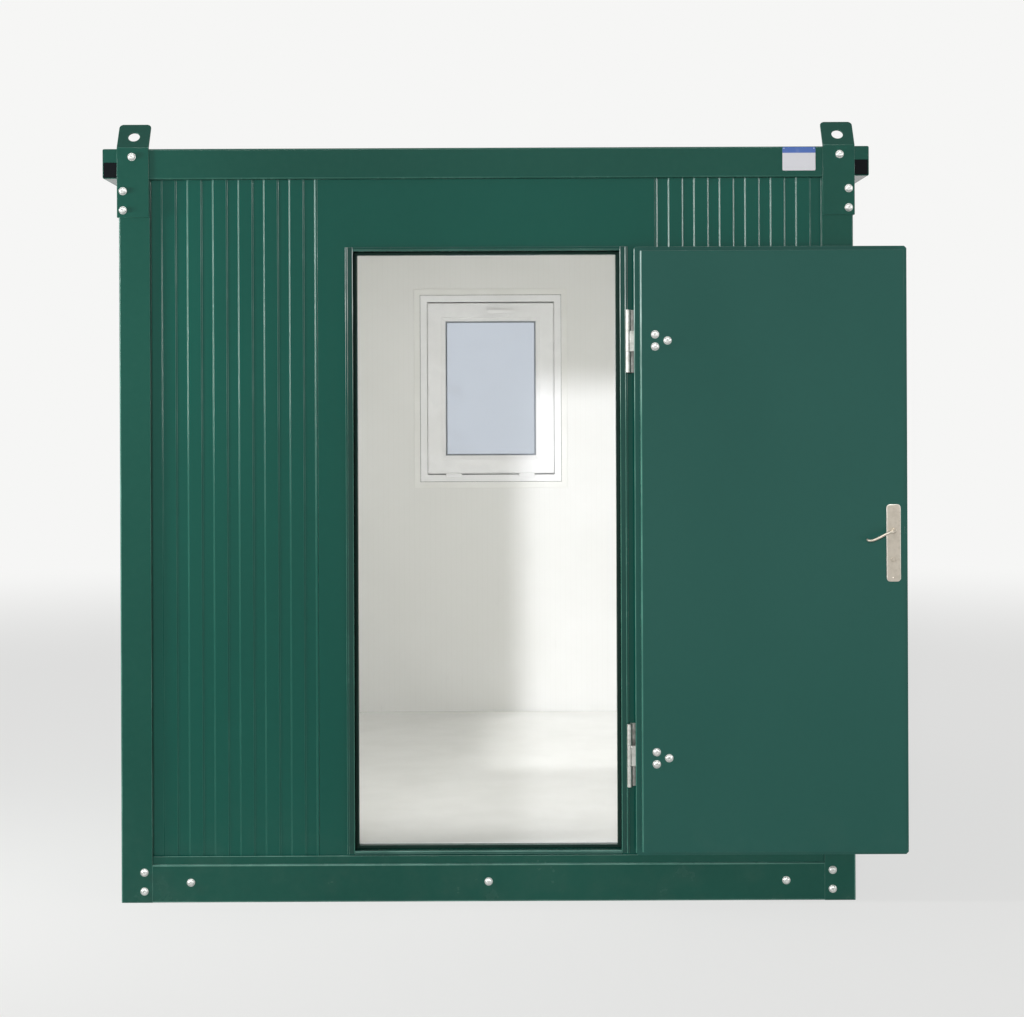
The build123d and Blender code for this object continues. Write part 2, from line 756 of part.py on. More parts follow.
def window_handle():
    """Handle at the middle of the sash's top member, turned level for shut."""
    face_y = room_half_y - sash_proud
    height = window_centre_height + sash_height / 2 - window_handle_drop
    plate = Pos(0, face_y - window_handle_plate[1] / 2, height) * Box(*window_handle_plate)
    neck_y = face_y - window_handle_plate[1] - window_handle_neck / 2
    neck = Pos(0, neck_y, height) * Rot(90, 0, 0) * Cylinder(window_handle_neck_radius, window_handle_neck)
    lever_y = face_y - window_handle_plate[1] - window_handle_neck - window_lever[1] / 2
    lever_x = window_lever[0] / 2 - window_handle_plate[2] / 2
    lever = Pos(lever_x, lever_y, height) * Box(*window_lever)
    return plate + neck + lever


# ================================================================ the whole cabin
def floor_deck():
    """Insulated floor board on the joists."""
    return block(
        -room_half_x, room_half_x, -room_half_y, room_half_y, base_rail_height, floor_level - floor_covering)


def floor_vinyl():
    """Sheet covering on the floor board."""
    return block(
        -room_half_x, room_half_x, -room_half_y, room_half_y, floor_level - floor_covering, floor_level)


def build_parts():
    """Every node of the cabin, by name."""
    parts = {}
    rail = base_rail(post_inner_x, half_length)
    parts["base_rail_front"] = rail
    parts["base_rail_back"] = mirror(rail, about=Plane.XZ)
    rail = Rot(0, 0, 90) * base_rail(post_inner_y, half_width)
    parts["base_rail_right"] = rail
    parts["base_rail_left"] = mirror(rail, about=Plane.YZ)
    parts["floor_joists"] = floor_joists()
    parts["floor_deck"] = floor_deck()
    parts["floor_covering"] = floor_vinyl()
    parts.update(four_corners("post", corner_post()))
    parts["roof_rail_front"] = roof_rail_front()
    parts["roof_rail_back"] = mirror(roof_rail_front(), about=Plane.XZ)
    parts["roof_rail_right"] = roof_rail_right()
    parts["roof_rail_left"] = mirror(roof_rail_right(), about=Plane.YZ)
    parts["gutter_plugs"] = gutter_plugs()
    parts["roof_sheet"] = roof_sheet()
    parts["ceiling_panel"] = ceiling_panel()
    bracket = lifting_bracket()
    front_brackets = Compound([bracket, mirror(bracket, about=Plane.YZ)])
    parts["lifting_brackets_front"] = front_brackets
    parts["lifting_brackets_back"] = mirror(front_brackets, about=Plane.XZ)
    parts["frame_bolts"] = frame_bolts()

    parts["side_panels_right"] = side_wall()
    parts["side_panels_left"] = mirror(side_wall(), about=Plane.YZ)
    back_end = mirror(end_panel(half_width), about=Plane.XZ)
    parts["back_panel_right"] = back_end
    parts["back_panel_left"] = mirror(back_end, about=Plane.YZ)
    parts["back_panel_window"] = back_window_panel()
    parts["window_frame"] = window_frame()
    parts["window_sash"] = window_sash()
    parts["window_glass"] = window_glass()
    parts["window_handle"] = window_handle()
    for name, piece in front_wall_parts().items():
        parts[name] = Pos(doorway_x, 0, 0) * piece
    return parts


def front_wall_parts():
    """Panels of the front wall, the door frame and the open door, about the doorway's middle."""
    strip = door_surround_right()
    jamb = jamb_right()
    return {
        "front_panel_right": end_panel(doorway_from_corner),
        "front_panel_left": mirror(end_panel(cabin_width - doorway_from_corner), about=Plane.YZ),
        "door_surround_right": strip,
        "door_surround_left": mirror(strip, about=Plane.YZ),
        "door_surround_top": door_surround_top(),
        "door_jambs": Compound([jamb, mirror(jamb, about=Plane.YZ)]),
        "door_head": door_head(),
        "door_threshold": door_threshold(),
        "door_seal": door_seal(),
        "wall_hinges": Compound([wall_hinge(height) for height in hinge_heights]),
        "door_leaf": door_leaf(),
        "door_hinges": Compound([door_hinge(height) for height in hinge_heights]),
        "handle_plates": handle_plates(),
        "lock_faceplate": lock_faceplate(),
        "door_lever": door_lever(),
    }


os.makedirs("parts", exist_ok=True)
for node, solid in build_parts().items():
    export_step(solid, "parts/" + node + ".step")
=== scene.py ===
"""Portable site cabin: the fine shapes and finishes built round its packed steel frame.

Lengths are metres in the cabin's own frame: +Z up, the door wall on the -Y side.
"""

from __future__ import annotations

import logging
import math
from dataclasses import dataclass
from enum import Enum
from functools import cache
from typing import Any, Callable, Iterable, Optional, Sequence, Union

import bmesh
import bpy
from mathutils import Euler, Matrix, Vector
from mathutils.geometry import interpolate_bezier


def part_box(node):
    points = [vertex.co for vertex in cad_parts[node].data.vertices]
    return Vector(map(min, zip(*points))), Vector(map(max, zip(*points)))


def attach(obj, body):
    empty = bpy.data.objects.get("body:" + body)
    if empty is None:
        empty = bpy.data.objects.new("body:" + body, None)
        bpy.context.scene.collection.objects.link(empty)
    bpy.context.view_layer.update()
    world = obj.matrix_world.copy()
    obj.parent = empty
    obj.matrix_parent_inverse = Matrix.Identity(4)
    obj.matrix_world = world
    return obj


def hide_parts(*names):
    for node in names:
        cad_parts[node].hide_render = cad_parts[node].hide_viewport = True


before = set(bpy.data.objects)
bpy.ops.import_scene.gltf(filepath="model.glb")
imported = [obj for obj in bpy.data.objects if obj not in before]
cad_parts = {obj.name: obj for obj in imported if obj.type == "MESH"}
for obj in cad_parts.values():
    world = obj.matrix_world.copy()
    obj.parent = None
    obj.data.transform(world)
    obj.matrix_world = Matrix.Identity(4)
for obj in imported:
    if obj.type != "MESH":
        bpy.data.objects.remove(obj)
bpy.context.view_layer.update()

MM = 0.001
X, Y, Z = range(3)
UP, OUT, IN = Vector((0.0, 0.0, 1.0)), Vector((0.0, -1.0, 0.0)), Vector((0.0, 1.0, 0.0))
IN_PLACE = (Matrix.Identity(4),)
CREASE_ANGLE = math.radians(24)     # edges bent less than this shade round, the others take a small radius
FLAT_ANGLE = math.radians(0.5)      # faces that meet at less lie in one plane
JOIN_ANGLE = 0.01                   # radians between triangles that are joined into one face
FACING = 0.9                        # a face looks in a direction from this cosine on
MERGE_GAP = 0.00001

log = logging.getLogger("cabin")

Point = tuple[float, float, float]
EVEN: Point = (1.0, 1.0, 1.0)
NOISE_MIDDLE = 0.5
Tone = tuple[int, int, int]
Pairs = Sequence[tuple[float, float]]
Corners = tuple[Vector, Vector]
Sockets = dict[Union[int, str], Any]


class Body(Enum):
    """The moving groups of the cabin."""

    CABIN = "cabin"
    DOOR = "door"
    LEVER = "lever"


class Slot(Enum):
    """Names of the record's finishes; the finer pieces pass one along, but nothing reads it."""

    FRAME_PAINT = "frame_paint"
    WALL_PANEL = "wall_panel"
    DOOR_PAINT = "door_paint"
    DOOR_FRAME_PAINT = "door_frame_paint"
    RUBBER_SEAL = "rubber_seal"
    BLACK_PLASTIC = "black_plastic"
    ROOF_STEEL = "roof_steel"
    ZINC_BOLT = "zinc_bolt"
    ZINC_HINGE = "zinc_hinge"
    SATIN_STEEL = "satin_steel"
    WHITE_PVC = "white_pvc"
    WINDOW_GLASS = "window_glass"


# ---------------------------------------------------------------- shader building
class Wire:
    """A node's output that takes part in arithmetic and adds the Math nodes it needs."""

    def __init__(self, graph: Graph, socket: bpy.types.NodeSocket) -> None:
        """Keeps the graph and one of its output sockets together."""
        self.graph = graph
        self.socket = socket

    def __add__(self, other: Number) -> Wire:
        """Sum."""
        return self.graph.math("ADD", self, other)

    def __radd__(self, other: Number) -> Wire:
        """Sum, reflected."""
        return self.graph.math("ADD", other, self)

    def __sub__(self, other: Number) -> Wire:
        """Difference."""
        return self.graph.math("SUBTRACT", self, other)

    def __rsub__(self, other: Number) -> Wire:
        """Difference, reflected."""
        return self.graph.math("SUBTRACT", other, self)

    def __mul__(self, other: Number) -> Wire:
        """Product."""
        return self.graph.math("MULTIPLY", self, other)

    def __rmul__(self, other: Number) -> Wire:
        """Product, reflected."""
        return self.graph.math("MULTIPLY", other, self)


Number = Union[Wire, float]
Colour = Union[Wire, Sequence[float]]


def linear(tone: Tone) -> tuple[float, float, float, float]:
    """A display colour as scene-linear light.

    Args:
        tone: Red, green and blue from 0 to 255.

    Returns:
        The linear colour with full alpha.
    """
    parts = [value / 255 for value in tone]
    low, slope, offset, power = 0.04045, 12.92, 0.055, 2.4
    light = [p / slope if p <= low else ((p + offset) / (1 + offset)) ** power for p in parts]
    return (*light, 1.0)


class Graph:
    """The node graph of one material or of the world."""

    MIX_FACTOR, MIX_A, MIX_B, MIX_RESULT = 0, 6, 7, 2
    NOISE_ROUGHNESS = 0.55

    def __init__(self, tree: bpy.types.NodeTree) -> None:
        """Empties a node tree and takes it over."""
        self.tree = tree
        self.tree.nodes.clear()

    def node(self, kind: str, settings: Optional[dict[str, Any]] = None,
             sockets: Optional[Sockets] = None) -> bpy.types.Node:
        """Adds any node.

        Args:
            kind: The node's type, without its ShaderNode prefix.
            settings: The node's own properties, which are set first.
            sockets: Values or wires for its inputs, by name or number.

        Returns:
            The node.
        """
        node = self.tree.nodes.new("ShaderNode" + kind)
        for name, value in (settings or {}).items():
            setattr(node, name, value)
        for name, value in (sockets or {}).items():
            if isinstance(value, Wire):
                self.tree.links.new(value.socket, node.inputs[name])
            else:
                node.inputs[name].default_value = value
        return node

    def add(self, kind: str, settings: Optional[dict[str, Any]] = None,
            sockets: Optional[Sockets] = None, output: Union[int, str] = 0) -> Wire:
        """Adds any node and returns one of its outputs as a wire."""
        return Wire(self, self.node(kind, settings, sockets).outputs[output])

    def math(self, operation: str, *values: Number) -> Wire:
        """The result of one Math node."""
        return self.add("Math", {"operation": operation}, dict(enumerate(values)))

    def place(self, stretch: Point = EVEN) -> Wire:
        """The point being shaded, in metres, stretched along the axes."""
        point = self.add("TexCoord", output="Object")
        return self.add("Mapping", {"vector_type": "POINT"}, {"Vector": point, "Scale": stretch})

    def noise(self, scale: float, detail: float, stretch: Point = EVEN) -> Wire:
        """Smooth noise from 0 to 1, with a number of cells to the metre."""
        return self.add("TexNoise", {"noise_dimensions": "3D"}, {
            "Vector": self.place(stretch), "Scale": scale, "Detail": detail,
            "Roughness": self.NOISE_ROUGHNESS})

    def cells(self, scale: float, output: str) -> Wire:
        """One result of a pattern of cells, with a number of them to the metre."""
        return self.add("TexVoronoi", {"feature": "F1"}, {"Vector": self.place(), "Scale": scale}, output)

    def part(self, vector: Wire, name: str) -> Wire:
        """One part of a vector or colour."""
        return self.add("SeparateXYZ", sockets={0: vector}, output=name)

    def axis(self, name: str) -> Wire:
        """One coordinate of the point being shaded."""
        return self.part(self.place(), name)

    def step(self, value: Wire, low: float, high: float) -> Wire:
        """A soft step from 0 at low to 1 at high."""
        return self.add("MapRange", {"interpolation_type": "SMOOTHSTEP", "clamp": True}, {
            "Value": value, "From Min": low, "From Max": high})

    def mix(self, factor: Number, first: Colour, second: Colour) -> Wire:
        """A colour between two, each a wire, a display tone or a linear colour with its alpha."""
        pair = [linear(each) if isinstance(each, tuple) and len(each) == 3 else each
                for each in (first, second)]
        return self.add("Mix", {"data_type": "RGBA", "clamp_factor": True}, {
            self.MIX_FACTOR: factor, self.MIX_A: pair[0], self.MIX_B: pair[1]}, self.MIX_RESULT)

    def bump(self, height: Wire) -> Wire:
        """A normal bent by a height in metres."""
        return self.add("Bump", sockets={"Strength": 1.0, "Distance": 1.0, "Height": height}, output="Normal")

    def edges(self) -> Wire:
        """1 on the small radius along a piece's edges, and 0 elsewhere."""
        return self.add("Attribute", {"attribute_name": Shape.MARK}, output="Fac")


@dataclass(frozen=True)
class Cloud:
    """Soft patches of noise, from where they start to where they are full."""

    scale: float
    detail: float
    start: float
    full: float
    stretch: Point = EVEN

    def on(self, graph: Graph) -> Wire:
        """The patches: 0 outside them and 1 where they are full."""
        return graph.step(graph.noise(self.scale, self.detail, self.stretch), self.start, self.full)


@dataclass(frozen=True)
class Grain:
    """Smooth noise times an amount, such as the depth of a relief."""

    scale: float
    detail: float
    amount: float
    stretch: Point = EVEN

    def plain(self, graph: Graph) -> Wire:
        """The noise alone, from 0 to 1."""
        return graph.noise(self.scale, self.detail, self.stretch)

    def on(self, graph: Graph) -> Wire:
        """The noise times its amount."""
        return self.plain(graph) * self.amount


@dataclass(frozen=True)
class Finish:
    """A finish that makes its own material."""

    name: str

    @cache
    def material(self) -> bpy.types.Material:
        """Makes the material, once.

        Returns:
            The material.
        """
        material = bpy.data.materials.new(self.name)
        material.use_nodes = True
        graph = Graph(material.node_tree)
        graph.node("OutputMaterial", sockets={"Surface": self.shader(graph)})
        return material

    def shader(self, graph: Graph) -> Wire:
        """The shader at the end of the graph."""
        return graph.add("BsdfPrincipled", sockets=self.surface(graph))

    def surface(self, graph: Graph) -> Sockets:
        """What feeds the shader; each finish has its own."""
        raise NotImplementedError


@dataclass(frozen=True)
class GlossPaint(Finish):
    """Gloss paint on sheet steel, with slow waves in the sheet, dust near the ground, and lighter edges that
    are partly rubbed paint and partly a painted highlight, with another painted highlight tone above a
    height.
    """

    tone: Tone
    light_tone: Tone
    # edge colour: partly rubbed paint, partly a painted highlight
    worn_and_glint_tone: Tone
    wear_and_glint: float
    roughness: float
    gloss: float
    # painted highlight: the edges take this tone from glint_from up to glint_full, in place of reflections on
    # the upper folds
    glint_tone: Tone = (104, 150, 136)
    glint_from: float = 1.55
    glint_full: float = 2.10
    dust_tone: Tone = (84, 98, 88)
    dust_top: float = 0.40
    dust_amount: float = 0.13
    dust_roughness: float = 0.6
    mottle: Grain = Grain(46.0, 3.0, 0.03)
    mottle_level: float = 0.4
    mottle_roughness: float = 0.08
    wear_glint_least: float = 0.50
    wear_glint_more: float = 0.6
    wear_glint_roughness: float = 0.1
    waves: Grain = Grain(1.3, 1.0, 1.2 * MM, (1.0, 1.0, 0.35))
    peel: Grain = Grain(330.0, 1.0, 0.02 * MM)
    lighter: Cloud = Cloud(0.7, 3.0, 0.32, 0.70, (1.0, 1.0, 0.5))
    dusty: Cloud = Cloud(9.0, 6.0, 0.42, 0.78)
    # patches where the edges take more of the rubbed and painted highlight tone
    rubbed: Cloud = Cloud(4.0, 3.0, 0.40, 0.75)

    def surface(self, graph: Graph) -> Sockets:
        """The paint.

        Args:
            graph: The material's graph.

        Returns:
            What feeds the shader.
        """
        mottle = self.mottle.plain(graph)
        height = graph.axis("Z")
        dust = (1.0 - graph.step(height, 0.0, self.dust_top)) * self.dusty.on(graph) * self.dust_amount
        # edges: partly rubbed paint, partly a painted highlight along the folds and ribs
        worn_and_glint = graph.edges() * (self.wear_glint_least + self.rubbed.on(graph) * self.wear_glint_more) * self.wear_and_glint
        # how far up the edges take the painted highlight tone
        glint_above = graph.step(height, self.glint_from, self.glint_full)
        colour = graph.mix(self.lighter.on(graph), self.tone, self.light_tone)
        colour = graph.mix(dust, colour, self.dust_tone)
        colour = graph.mix((mottle - self.mottle_level) * self.mottle.amount, colour, self.worn_and_glint_tone)
        colour = graph.mix(worn_and_glint, colour, graph.mix(glint_above, self.worn_and_glint_tone, self.glint_tone))
        return {
            "Base Color": colour,
            "Roughness": (self.roughness + (mottle - NOISE_MIDDLE) * self.mottle_roughness
                          + dust * self.dust_roughness + worn_and_glint * self.wear_glint_roughness),
            "Specular IOR Level": self.gloss,
            "Normal": graph.bump(self.waves.on(graph) + self.peel.on(graph)),
        }


@dataclass(frozen=True)
class WhiteLining(Finish):
    """Pale coil-coated lining with fine upright lines rolled into it, the lines greyed with painted shade."""

    name: str = "pale_wall_lining"
    tone: Tone = (238, 238, 235)
    grey_tone: Tone = (228, 228, 223)
    scuff_tone: Tone = (170, 168, 160)
    line_pitch: float = 25.0 * MM
    line_depth: float = 0.03 * MM
    line_from: float = 0.80
    line_shade: float = 0.14
    cloud_grey: float = 0.5
    scuff_low: float = 0.2
    scuff_high: float = 1.0
    scuff_amount: float = 0.12
    roughness: float = 0.34
    rougher: Grain = Grain(30.0, 2.0, 0.08)
    grain: Grain = Grain(260.0, 2.0, 0.015 * MM)
    side_turn: tuple[float, float] = (0.4, 0.6)
    greyer: Cloud = Cloud(1.1, 4.0, 0.36, 0.70)
    scuffed: Cloud = Cloud(16.0, 6.0, 0.62, 0.78, (1.0, 1.0, 0.3))

    def surface(self, graph: Graph) -> Sockets:
        """The lining.

        Args:
            graph: The material's graph.

        Returns:
            What feeds the shader.
        """
        facing = graph.part(graph.add("TexCoord", output="Normal"), "X")
        sideways = graph.step(graph.math("ABSOLUTE", facing), *self.side_turn)
        along = graph.axis("X") * (1.0 - sideways) + graph.axis("Y") * sideways
        line = graph.step(graph.math("SINE", along * (2 * math.pi / self.line_pitch)), self.line_from, 1.0)
        # the rolled lines get a painted shade of grey; the clouds are the sheet's own tone
        grey = self.greyer.on(graph) * self.cloud_grey + line * self.line_shade
        low_wall = 1.0 - graph.step(graph.axis("Z"), self.scuff_low, self.scuff_high)
        colour = graph.mix(grey, self.tone, self.grey_tone)
        colour = graph.mix(self.scuffed.on(graph) * low_wall * self.scuff_amount, colour, self.scuff_tone)
        return {
            "Base Color": colour,
            "Roughness": self.roughness + self.rougher.on(graph),
            "Normal": graph.bump(line * (-self.line_depth) + self.grain.on(graph)),
        }


@dataclass(frozen=True)
class MottledVinyl(Finish):
    """Pale sheet vinyl with a fine mottle and faint foot marks."""

    name: str = "mottled_floor_vinyl"
    tone: Tone = (240, 240, 237)
    fleck_tone: Tone = (222, 222, 218)
    mark_tone: Tone = (206, 205, 199)
    fleck_scale: float = 170.0
    fleck_rim: float = 0.30
    fleck_core: float = 0.10
    fleck_amount: float = 0.18
    cloud_amount: float = 0.30
    mark_amount: float = 0.18
    mark_roughness: float = 0.05
    roughness: float = 0.16
    gloss: float = 0.8
    grain: Grain = Grain(480.0, 1.0, 0.006 * MM)
    clouded: Cloud = Cloud(5.0, 3.0, 0.30, 0.72)
    flecked: Cloud = Cloud(60.0, 2.0, 0.45, 0.60)
    marked: Cloud = Cloud(3.0, 3.0, 0.40, 0.80, (1.0, 0.45, 1.0))

    def surface(self, graph: Graph) -> Sockets:
        """The vinyl.

        Args:
            graph: The material's graph.

        Returns:
            What feeds the shader.
        """
        cells = graph.cells(self.fleck_scale, "Distance")
        flecks = graph.step(cells, self.fleck_rim, self.fleck_core) * self.flecked.on(graph)
        mottle = self.clouded.on(graph) * self.cloud_amount + flecks * self.fleck_amount
        marks = self.marked.on(graph)
        colour = graph.mix(mottle, self.tone, self.fleck_tone)
        return {
            "Base Color": graph.mix(marks * self.mark_amount, colour, self.mark_tone),
            "Roughness": self.roughness + marks * self.mark_roughness,
            "Specular IOR Level": self.gloss,
            "Normal": graph.bump(self.grain.on(graph)),
        }


@dataclass(frozen=True)
class PlatedSteel(Finish):
    """Bare or zinc-plated steel with a cloudy plating and fine scratches."""

    tone: Tone
    shade_tone: Tone
    edge_tone: Tone = (238, 238, 236)
    edge_amount: float = 0.35
    roughness: float = 0.34
    roughness_more: float = 0.12
    scratches: Grain = Grain(900.0, 2.0, 0.02 * MM)
    clouded: Cloud = Cloud(60.0, 4.0, 0.35, 0.68)

    def surface(self, graph: Graph) -> Sockets:
        """The metal.

        Args:
            graph: The material's graph.

        Returns:
            What feeds the shader.
        """
        clouds = self.clouded.on(graph)
        lines = self.scratches.plain(graph)
        colour = graph.mix(clouds, self.tone, self.shade_tone)
        return {
            "Base Color": graph.mix(graph.edges() * self.edge_amount, colour, self.edge_tone),
            "Metallic": 1.0,
            "Roughness": (self.roughness + clouds * self.roughness_more
                          + (lines - NOISE_MIDDLE) * self.roughness_more),
            "Normal": graph.bump(lines * self.scratches.amount),
        }


@dataclass(frozen=True)
class MouldedPlastic(Finish):
    """Moulded plastic or rubber with a fine grain."""

    tone: Tone
    shade_tone: Tone
    roughness: float
    gloss: float = 0.50
    roughness_more: float = 0.08
    shade_amount: float = 0.6
    rub_amount: float = 0.4
    grain: Grain = Grain(700.0, 2.0, 0.015 * MM)
    shaded: Cloud = Cloud(5.0, 4.0, 0.35, 0.70)
    rubbed: Cloud = Cloud(35.0, 3.0, 0.45, 0.70)

    def surface(self, graph: Graph) -> Sockets:
        """The plastic.

        Args:
            graph: The material's graph.

        Returns:
            What feeds the shader.
        """
        broad = self.shaded.on(graph)
        grain = self.grain.plain(graph)
        shade = broad * self.shade_amount + graph.edges() * self.rubbed.on(graph) * self.rub_amount
        return {
            "Base Color": graph.mix(shade, self.tone, self.shade_tone),
            "Roughness": (self.roughness + broad * self.roughness_more
                          + (grain - NOISE_MIDDLE) * self.roughness_more),
            "Specular IOR Level": self.gloss,
            "Normal": graph.bump(grain * self.grain.amount),
        }


@dataclass(frozen=True)
class GalvanisedSheet(Finish):
    """Galvanised roof sheet with a spangle and stretched patches of grime."""

    name: str = "galvanised_roof_sheet"
    tone: Tone = (168, 173, 172)
    bright_tone: Tone = (193, 197, 196)
    grime_tone: Tone = (104, 106, 98)
    spangle_scale: float = 55.0
    spangle_height: float = 0.01 * MM
    grime_amount: float = 0.45
    roughness: float = 0.54
    spangle_roughness: float = 0.10
    grime_roughness: float = 0.20
    metal: float = 0.6
    waves: Grain = Grain(1.2, 2.0, 1.5 * MM)
    grimy: Cloud = Cloud(3.0, 6.0, 0.45, 0.75, (1.0, 0.3, 1.0))

    def surface(self, graph: Graph) -> Sockets:
        """The sheet.

        Args:
            graph: The material's graph.

        Returns:
            What feeds the shader.
        """
        sparkle = graph.part(graph.cells(self.spangle_scale, "Color"), "X")
        grime = self.grimy.on(graph)
        colour = graph.mix(sparkle, self.tone, self.bright_tone)
        return {
            "Base Color": graph.mix(grime * self.grime_amount, colour, self.grime_tone),
            "Metallic": self.metal,
            "Roughness": self.roughness + sparkle * self.spangle_roughness + grime * self.grime_roughness,
            "Normal": graph.bump(self.waves.on(graph) + sparkle * self.spangle_height),
        }


@dataclass(frozen=True)
class CoatedBoard(Finish):
    """Film-faced floor board with its grain just showing."""

    name: str = "coated_floor_board"
    tone: Tone = (124, 98, 70)
    grain_tone: Tone = (92, 70, 48)
    grain: Grain = Grain(24.0, 6.0, 0.2 * MM, (0.15, 1.0, 1.0))
    grain_from: float = 0.40
    grain_full: float = 0.62
    roughness: float = 0.45
    roughness_more: float = 0.2

    def surface(self, graph: Graph) -> Sockets:
        """The board.

        Args:
            graph: The material's graph.

        Returns:
            What feeds the shader.
        """
        grain = self.grain.plain(graph)
        lines = graph.step(grain, self.grain_from, self.grain_full)
        return {
            "Base Color": graph.mix(lines, self.tone, self.grain_tone),
            "Roughness": self.roughness + grain * self.roughness_more,
            "Normal": graph.bump(grain * self.grain.amount),
        }


@dataclass(frozen=True)
class ClearGlass(Finish):
    """Clear window glass: mostly let through, with a thin film of dust."""

    name: str = "clear_window_glass"
    tint: Tone = (243, 245, 248)
    film_tone: Tone = (205, 212, 210)
    smear_tone: Tone = (226, 230, 228)
    bend: float = 1.5
    roughness: float = 0.03
    smear_roughness: float = 0.10
    smear_amount: float = 0.05
    smeared: Cloud = Cloud(6.0, 6.0, 0.52, 0.80)

    def shader(self, graph: Graph) -> Wire:
        """A clear shader under a glossy one.

        Args:
            graph: The material's graph.

        Returns:
            The mixed shader.
        """
        smears = self.smeared.on(graph)
        gloss = graph.add("Fresnel", sockets={"IOR": self.bend})
        through = graph.add("BsdfTransparent", sockets={"Color": linear(self.tint)})
        coat = graph.add("BsdfPrincipled", sockets={
            "Base Color": graph.mix(smears, self.film_tone, self.smear_tone),
            "Roughness": self.roughness + smears * self.smear_roughness,
            "Specular IOR Level": 1.0,
        })
        return graph.add("MixShader", sockets={0: gloss + smears * self.smear_amount, 1: through, 2: coat})


@dataclass(frozen=True)
class LabelFilm(Finish):
    """A blank weatherproof label: a pale field under one plain blue band, with no lettering."""

    band_bottom: float
    pale_tone: Tone = (214, 214, 216)
    band_tone: Tone = (70, 104, 172)
    stain_tone: Tone = (186, 186, 180)
    blend: float = 0.5 * MM
    stain_amount: float = 0.08
    edge_amount: float = 0.3
    roughness: float = 0.32
    stain_roughness: float = 0.2
    ripple: Grain = Grain(120.0, 2.0, 0.05 * MM)
    stained: Cloud = Cloud(40.0, 5.0, 0.50, 0.75)

    def surface(self, graph: Graph) -> Sockets:
        """The label's face.

        Args:
            graph: The material's graph.

        Returns:
            What feeds the shader.
        """
        band = graph.step(graph.axis("Z"), self.band_bottom - self.blend, self.band_bottom + self.blend)
        stains = self.stained.on(graph)
        colour = graph.mix(band, self.pale_tone, self.band_tone)
        aged = stains * self.stain_amount + graph.edges() * self.edge_amount
        return {
            "Base Color": graph.mix(aged, colour, self.stain_tone),
            "Roughness": self.roughness + stains * self.stain_roughness,
            "Normal": graph.bump(self.ripple.on(graph)),
        }


# Edge tones: the worn tones are partly wear and partly painted highlight; the glint tones are painted
# highlights on the upper edges.
FRAME_GREEN = GlossPaint(
    "moss_green_frame_paint", (9, 69, 57), (18, 77, 64), worn_and_glint_tone=(112, 158, 144), wear_and_glint=0.60,
    roughness=0.22, gloss=0.24, glint_tone=(66, 112, 98))
PANEL_GREEN = GlossPaint(
    "moss_green_panel_coating", (4, 73, 61), (10, 80, 67), worn_and_glint_tone=(78, 128, 112), wear_and_glint=0.32,
    roughness=0.20, gloss=0.24, glint_tone=(190, 222, 212), glint_from=1.1)
DOOR_GREEN = GlossPaint(
    "moss_green_door_paint", (24, 79, 69), (32, 85, 75), worn_and_glint_tone=(76, 134, 118), wear_and_glint=0.90,
    roughness=0.19, gloss=0.26, glint_tone=(196, 226, 217))
# The jambs take the sill's paint with near-white painted highlights on their edges; the sill and head copy
# has dimmer ones.
JAMB_GREEN = GlossPaint(
    "moss_green_jamb_paint", (8, 62, 52), (14, 70, 60), worn_and_glint_tone=(66, 124, 107), wear_and_glint=1.15,
    roughness=0.18, gloss=0.34, glint_tone=(222, 236, 230))
SILL_GREEN = GlossPaint(
    "moss_green_sill_paint", (8, 62, 52), (14, 70, 60), worn_and_glint_tone=(120, 166, 153), wear_and_glint=0.45,
    roughness=0.18, gloss=0.22)
LINING = WhiteLining()
VINYL = MottledVinyl()
ZINC = PlatedSteel("zinc_plated_bolts", (226, 227, 224), (198, 200, 197))
HINGE_ZINC = PlatedSteel("zinc_plated_hinges", (206, 207, 202), (176, 177, 171), roughness=0.36)
SATIN = PlatedSteel("satin_steel_fittings", (199, 191, 178), (187, 179, 166),
                    scratches=Grain(900.0, 2.0, 0.02 * MM, (1.0, 1.0, 0.04)))
SPACER = MouldedPlastic("grey_glass_spacer", (186, 188, 188), (174, 176, 176), roughness=0.45, gloss=0.20)
RUBBER = MouldedPlastic("dark_door_rubber", (24, 43, 37), (34, 56, 49), roughness=0.55, gloss=0.10)
PLUG_BLACK = MouldedPlastic("black_moulded_plug", (8, 11, 13), (18, 22, 25), roughness=0.50, gloss=0.06)
PVC = MouldedPlastic("white_window_plastic", (248, 248, 248), (238, 238, 237), roughness=0.26)
TRIM = MouldedPlastic("cream_window_trim", (241, 241, 237), (232, 232, 227), roughness=0.34)
GASKET = MouldedPlastic("grey_window_gasket", (186, 188, 190), (196, 198, 200), roughness=0.50, gloss=0.20)
ROOF_SHEET = GalvanisedSheet()
BOARD = CoatedBoard()
GLASS = ClearGlass()


# ---------------------------------------------------------------- mesh building
Edge = bmesh.types.BMEdge


def turn_up_to(direction: Vector, at: Vector) -> Matrix:
    """The place at a point for a shape whose own +Z is to look in a direction."""
    return Matrix.Translation(at) @ UP.rotation_difference(direction).to_matrix().to_4x4()


def box_of(points: Sequence[Vector]) -> Corners:
    """The lowest and highest corner of some points."""
    low, high = ([end(point[axis] for point in points) for axis in (X, Y, Z)] for end in (min, max))
    return Vector(low), Vector(high)


def lies_at(edge: Edge, axis: int, value: float, gap: float = MERGE_GAP) -> bool:
    """Whether both ends of an edge are at a value along an axis."""
    return all(abs(vertex.co[axis] - value) < gap for vertex in edge.verts)


def runs_along(edge: Edge, axis: int, length: float) -> bool:
    """Whether an edge covers more than a length along an axis."""
    return abs(edge.verts[0].co[axis] - edge.verts[1].co[axis]) > length


